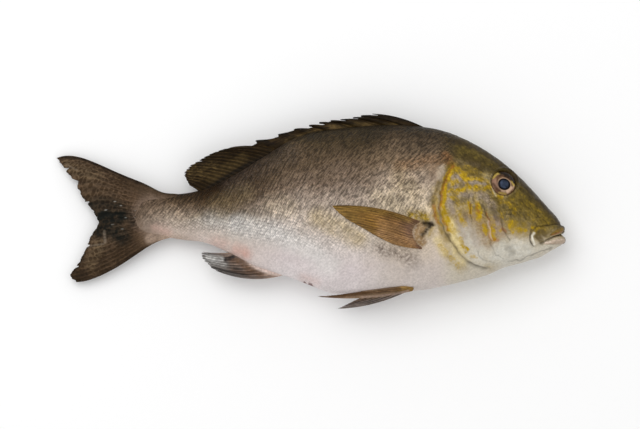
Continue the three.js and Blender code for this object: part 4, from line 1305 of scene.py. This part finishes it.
dorsalLayers = {
    "fin_ochre": {"colour": (98, 80, 48), "soft": 2.4, "ragged": 1.6, "grain": 260, "strokes": [
        [[[150, 80], [190, 81], [220, 77], [250, 68]], 2.2, 0.45],
        [[[318, 44], [334, 36], [338, 44]], 5, 0.45], [[[290, 52], [320, 34]], 4, 0.3]]},
    "fin_edge": {"colour": (26, 21, 15), "soft": 1.2, "ragged": 0.6, "grain": 300, "strokes": [
        [[[130, 84], [160, 89.5], [182, 91]], 2.2, 0.8], [[[245, 77], [262, 73], [283, 66]], 2.0, 0.8],
        [[[262, 57], [292, 43], [312, 31], [329, 21]], 0.9, 0.7]]},
}

analLayers = {
    "fin_silver": {"colour": (196, 194, 190), "soft": 2.5, "ragged": 1.4, "grain": 300, "strokes": [
        [[[322, -38], [310, -39.5]], 2.4, 0.85], [[[318, -42], [306, -44]], 1.6, 0.5]]},
    "fin_brown": {"colour": (98, 72, 52), "soft": 2, "ragged": 0.8, "grain": 260, "strokes": [
        [[[300, -39], [292, -42], [286, -48], [274, -53]], 2.4, 0.85],
        [[[300, -49], [284, -53]], 1.6, 0.6]]},
    "fin_sooty": {"colour": (42, 36, 34), "soft": 1.5, "ragged": 0.8, "grain": 300, "strokes": [
        [[[306, -40], [299, -37]], 1.6, 0.8], [[[320, -47], [305, -51], [286, -54]], 0.9, 0.7],
        [[[302, -36.6], [294, -37.8]], 0.6, 0.6], [[[298, -48], [291, -48.6]], 0.8, 0.6]]},
    "fin_skin": {"colour": (198, 178, 168), "soft": 1.6, "ragged": 0.9, "grain": 380, "late": True,
     "strokes": [
        [[[292, -35.4], [286, -39], [281, -43.6], [273, -48], [262, -51.4], [254, -52.6]], 2.2, 0.95]]},
}

pelvicLayers = {
    "fin_base_tan": {"colour": (150, 118, 60), "soft": 4, "ragged": 0.8, "grain": 200, "strokes": [
        [[[139, -64], [150, -65.2]], 2.4, 0.8]]},
    # fin_grey_painted_light: the left pelvic fin's grey, painted paler than its own colour as painted light
    # where the body shades it
    "fin_grey_painted_light": {"colour": (136, 126, 120), "soft": 2.4, "ragged": 0.6, "grain": 260, "strokes": [
        [[[146, -71.6], [160, -75.4], [178, -79], [204, -83]], 2.8, 0.9]]},
    "fin_brown": {"colour": (100, 71, 42), "soft": 1.4, "ragged": 0.5, "grain": 260, "strokes": [
        [[[150, -65], [172, -68.2], [196, -71], [222, -72.4]], 1.4, 0.8]]},
    "fin_pink": {"colour": (186, 160, 142), "soft": 1.0, "ragged": 0.5, "grain": 260, "late": True,
     "strokes": [
        [[[142, -67.6], [152, -69.8], [166, -71.8], [184, -73.4]], 0.8, 0.85]]},
    "fin_dark": {"colour": (52, 40, 34), "soft": 0.8, "ragged": 0.6, "grain": 260, "late": True,
     "strokes": [
        [[[226, -72], [206, -70.8], [190, -68.6], [160, -64.6], [140, -62.2]], 0.4, 0.65],
        [[[206, -82.6], [188, -78], [180, -75]], 0.5, 0.6]]},
}

chestLayers = {
    "fin_peach": {"colour": (178, 138, 96), "soft": 5, "ragged": 0.5, "grain": 160, "strokes": [
        [[[140, -24], [152, -22], [166, -15]], 3.5, 0.75], [[[150, -14], [166, -8]], 3, 0.3]]},
    "fin_gold": {"colour": (134, 105, 50), "soft": 4, "ragged": 0.7, "grain": 120, "strokes": [
        [[[142, -2], [162, 4], [186, 8], [206, 8.6]], 3.5, 0.75], [[[190, -2], [204, 5]], 3, 0.5]]},
    "fin_shadow": {"colour": (84, 58, 30), "soft": 1.6, "ragged": 0.6, "grain": 260, "strokes": [
        [[[186, -6], [164, -16], [152, -22]], 0.8, 0.35],
        [[[206, 8.8], [180, 9.4], [162, 5.6], [146, 0], [134, -6]], 0.8, 0.5],
        [[[160, 0], [146, -6]], 2.4, 0.35]]},
}


def finMaterial(name, look, layers):
    material, tree, skin = newMaterial(name)
    place = objectPlace(tree)
    ray = read(tree, "ray", "Vector")
    apart = node(tree, "ShaderNodeSeparateXYZ", None, {0: ray})
    rayNumber, reach = apart.outputs[0], apart.outputs[1]
    shiver = times(tree, maths(tree, "SUBTRACT", noise(tree, place, 120, 3, 0.5), 0.5), 0.5)
    turned = times(tree, maths(tree, "ADD", rayNumber, shiver), 2 * math.pi)
    onRay = span(tree, maths(tree, "COSINE", turned), -0.5, 0.9)
    base = ramp(tree, reach, look["ramp"])
    base = layered(tree, base, layers, place)
    # Spots lie in rows along the rays
    onFin = node(tree, "ShaderNodeCombineXYZ", None, {
        0: times(tree, maths(tree, "ADD", rayNumber, shiver), look["spotAcross"]),
        1: maths(tree, "DIVIDE", apart.outputs[2], look["spotLong"])}).outputs[0]
    cells = node(tree, "ShaderNodeTexVoronoi", {"feature": "DISTANCE_TO_EDGE"},
                 {"Vector": onFin, "Scale": 1.0, "Randomness": 0.8})
    spots = span(tree, cells.outputs["Distance"], 0.04, 0.20)
    spotReach = span(tree, reach, look["spotStart"], look["spotStart"] + 0.2, 0, look["spots"])
    base = blendColour(tree, times(tree, spots, spotReach), base, colour(*look["spotColour"]))
    base = layered(tree, base, layers, place, True)
    rayStart = look.get("rayStart", -1)
    onRays = span(tree, reach, rayStart, rayStart + 0.25)
    rayShade = span(tree, onRay, 0, 1, look["webShade"], look["rayShade"])
    rayShade = maths(tree, "ADD", times(tree, maths(tree, "SUBTRACT", rayShade, 1.0), onRays), 1.0)
    # Fine streaks run along the rays
    alongRays = node(tree, "ShaderNodeCombineXYZ", None, {
        0: times(tree, maths(tree, "ADD", rayNumber, shiver), 2.6),
        1: times(tree, apart.outputs[2], 0.09)}).outputs[0]
    force = look.get("streaks", 0.4)
    streaks = span(tree, noise(tree, alongRays, 1.0, 3, 0.6), 0.36, 0.64, 1 - 0.4 * force, 1 + 0.32 * force)
    cloud = span(tree, noise(tree, place, 90, 4, 0.6), 0.3, 0.7, 0.82, 1.14)
    grain = span(tree, noise(tree, place, 620, 3, 0.6), 0.34, 0.66, 0.82, 1.14)
    shade = times(tree, times(tree, rayShade, streaks), times(tree, cloud, grain))
    base = shaded(tree, base, shade)
    tree.links.new(base, skin.inputs["Base Color"])
    rough = span(tree, noise(tree, place, 150, 3, 0.6), 0.3, 0.7, look["rough"] - 0.1, look["rough"] + 0.12)
    tree.links.new(rough, skin.inputs["Roughness"])
    skin.inputs["Specular IOR Level"].default_value = look["shine"]
    bumps = maths(tree, "ADD", times(tree, onRay, onRays), times(tree, noise(tree, place, 500, 3, 0.6), 0.8))
    tree.links.new(bump(tree, bumps, 0.0004, 0.8), skin.inputs["Normal"])
    return material


finLooks = {
    "tail": {"ramp": [[0.0, (124, 105, 90)], [0.18, (108, 90, 74)], [0.38, (86, 67, 50)],
                      [0.8, (88, 71, 54)], [1.0, (84, 67, 50)]],
             "webShade": 0.84, "rayShade": 1.14, "rayStart": 0.26, "spotAcross": 1.25, "spotLong": 3.9,
             "spots": 0.72, "spotStart": 0.3, "spotColour": (50, 36, 21), "rough": 0.55, "shine": 0.06},
    "dorsal": {"ramp": [[0.0, (32, 23, 11)], [0.5, (47, 35, 18)], [1.0, (43, 32, 17)]],
               "webShade": 1.25, "rayShade": 0.6, "spotAcross": 1.4, "spotLong": 3.2, "spots": 0.8,
               "spotStart": 0.35, "spotColour": (28, 19, 10), "rough": 0.55, "shine": 0.06},
    "anal": {"ramp": [[0.0, (164, 138, 122)], [0.4, (124, 106, 94)], [0.7, (110, 103, 98)],
                      [1.0, (124, 120, 115)]],
             "webShade": 0.68, "rayShade": 1.16, "rayStart": 0.12, "spotAcross": 1.0, "spotLong": 6,
             "spots": 0.15, "spotStart": 0.1, "spotColour": (60, 46, 38), "rough": 0.4, "shine": 0.25},
    "pelvic": {"ramp": [[0.0, (158, 120, 72)], [0.3, (156, 128, 98)], [1.0, (140, 118, 100)]],
               "webShade": 0.72, "rayShade": 1.22, "spotAcross": 1.0, "spotLong": 7, "spots": 0.12,
               "spotStart": 0.1, "spotColour": (60, 44, 34), "rough": 0.45, "shine": 0.12},
    # the chest fin's darker stop near its root is painted shade where the fin meets its fleshy lobe
    "chest": {"ramp": [[0.0, (150, 122, 90)], [0.07, (118, 88, 68)], [0.25, (140, 103, 62)],
                       [0.6, (134, 99, 46)], [1.0, (120, 92, 50)]],
              "webShade": 0.80, "rayShade": 1.16, "streaks": 0.8, "spotAcross": 1.0, "spotLong": 9,
              "spots": 0.1, "spotStart": 0.1, "spotColour": (100, 70, 36), "rough": 0.48, "shine": 0.1},
}


# Making

print("body")
skinOnBody = skinMaterial()
body = makeCage()
bodyS, bodyTurn, bodyH = sculptBody(body)
paintBody(body, bodyS, bodyTurn, bodyH)
settle(body, skinOnBody, "fish")

print("eyes and lips")
eyeOnBoth = eyeMaterial()
makeEye(1, "right_eyeball", "eye_right", eyeOnBoth)
makeEye(-1, "left_eyeball", "eye_left", eyeOnBoth)
lipSkin = lipMaterial()
for lipName, lip in lips.items():
    makeLip(lipName, lip, lipSkin)

print("fins")
makeFin("tail_fin", tailFin, finMaterial("spotted tail fin", finLooks["tail"], tailLayers), tailLayers)
dorsalSkin = finMaterial("dark back fin", finLooks["dorsal"], dorsalLayers)
makeFin("spiny_fin", spinyFin, dorsalSkin, dorsalLayers)
makeFin("soft_fin", softFin, dorsalSkin, dorsalLayers)
makeFin("anal_fin", analFin, finMaterial("grey anal fin", finLooks["anal"], analLayers), analLayers)
pelvicSkin = finMaterial("brown pelvic fin", finLooks["pelvic"], pelvicLayers)
makeFin("right_pelvic_fin", rightPelvic, pelvicSkin, pelvicLayers)
makeFin("left_pelvic_fin", leftPelvic, pelvicSkin, pelvicLayers)
chestSkin = finMaterial("ochre chest fin", finLooks["chest"], chestLayers)
makeFin("right_chest_fin", chestFin(1), chestSkin, chestLayers)
makeFin("left_chest_fin", chestFin(-1), chestSkin, chestLayers)

print("floor, light and camera")
studio = {
    "floorSize": 14, "floorShade": (248, 248, 248), "floorRough": 0.9, "floorDrop": 0.4 * mm, "farView": 50,
    "cameraHeight": 8.0, "photoWidth": 640, "photoHeight": 429, "pixel": 0.9 * mm,
    "fishMiddle": [311.5, 212.0], "planeHeight": 28 * mm, "sensor": 36,
    "keyPlace": (-0.9, 1.3, 2.6), "keyPower": 38, "keySize": 2.4, "fillStrength": 0.78,
}
bpy.ops.object.select_all(action="DESELECT")
bpy.ops.mesh.primitive_plane_add(size=studio["floorSize"], location=(0, 0, -studio["floorDrop"]))
floor = bpy.context.object
floor.name = "floor"
floorMaterial, floorTree, floorSkin = newMaterial("pale studio floor")
floorSkin.inputs["Base Color"].default_value = colour(*studio["floorShade"])
floorSkin.inputs["Roughness"].default_value = studio["floorRough"]
floor.data.materials.append(floorMaterial)

world = bpy.data.worlds.new("studio")
bpy.context.scene.world = world
world.use_nodes = True
world.node_tree.nodes["Background"].inputs[0].default_value = (1, 1, 1, 1)
world.node_tree.nodes["Background"].inputs[1].default_value = studio["fillStrength"]

keyPlace = Vector(studio["keyPlace"])
bpy.ops.object.light_add(type="AREA", location=keyPlace)
key = bpy.context.object
key.data.size = studio["keySize"]
key.data.energy = studio["keyPower"]
key.rotation_euler = keyPlace.to_track_quat("Z", "Y").to_euler()
key.visible_camera = False

across = (studio["photoWidth"] / 2 - studio["fishMiddle"][0]) * studio["pixel"]
down = (studio["photoHeight"] / 2 - studio["fishMiddle"][1]) * studio["pixel"]
bpy.ops.object.camera_add(location=(across, -down, studio["cameraHeight"]), rotation=(0, 0, 0))
camera = bpy.context.object
camera.data.sensor_width = studio["sensor"]
viewWidth = studio["photoWidth"] * studio["pixel"]
camera.data.lens = studio["sensor"] * (studio["cameraHeight"] - studio["planeHeight"]) / viewWidth
camera.data.clip_end = studio["farView"]
bpy.context.scene.camera = camera
bpy.context.scene.view_settings.view_transform = "Standard"
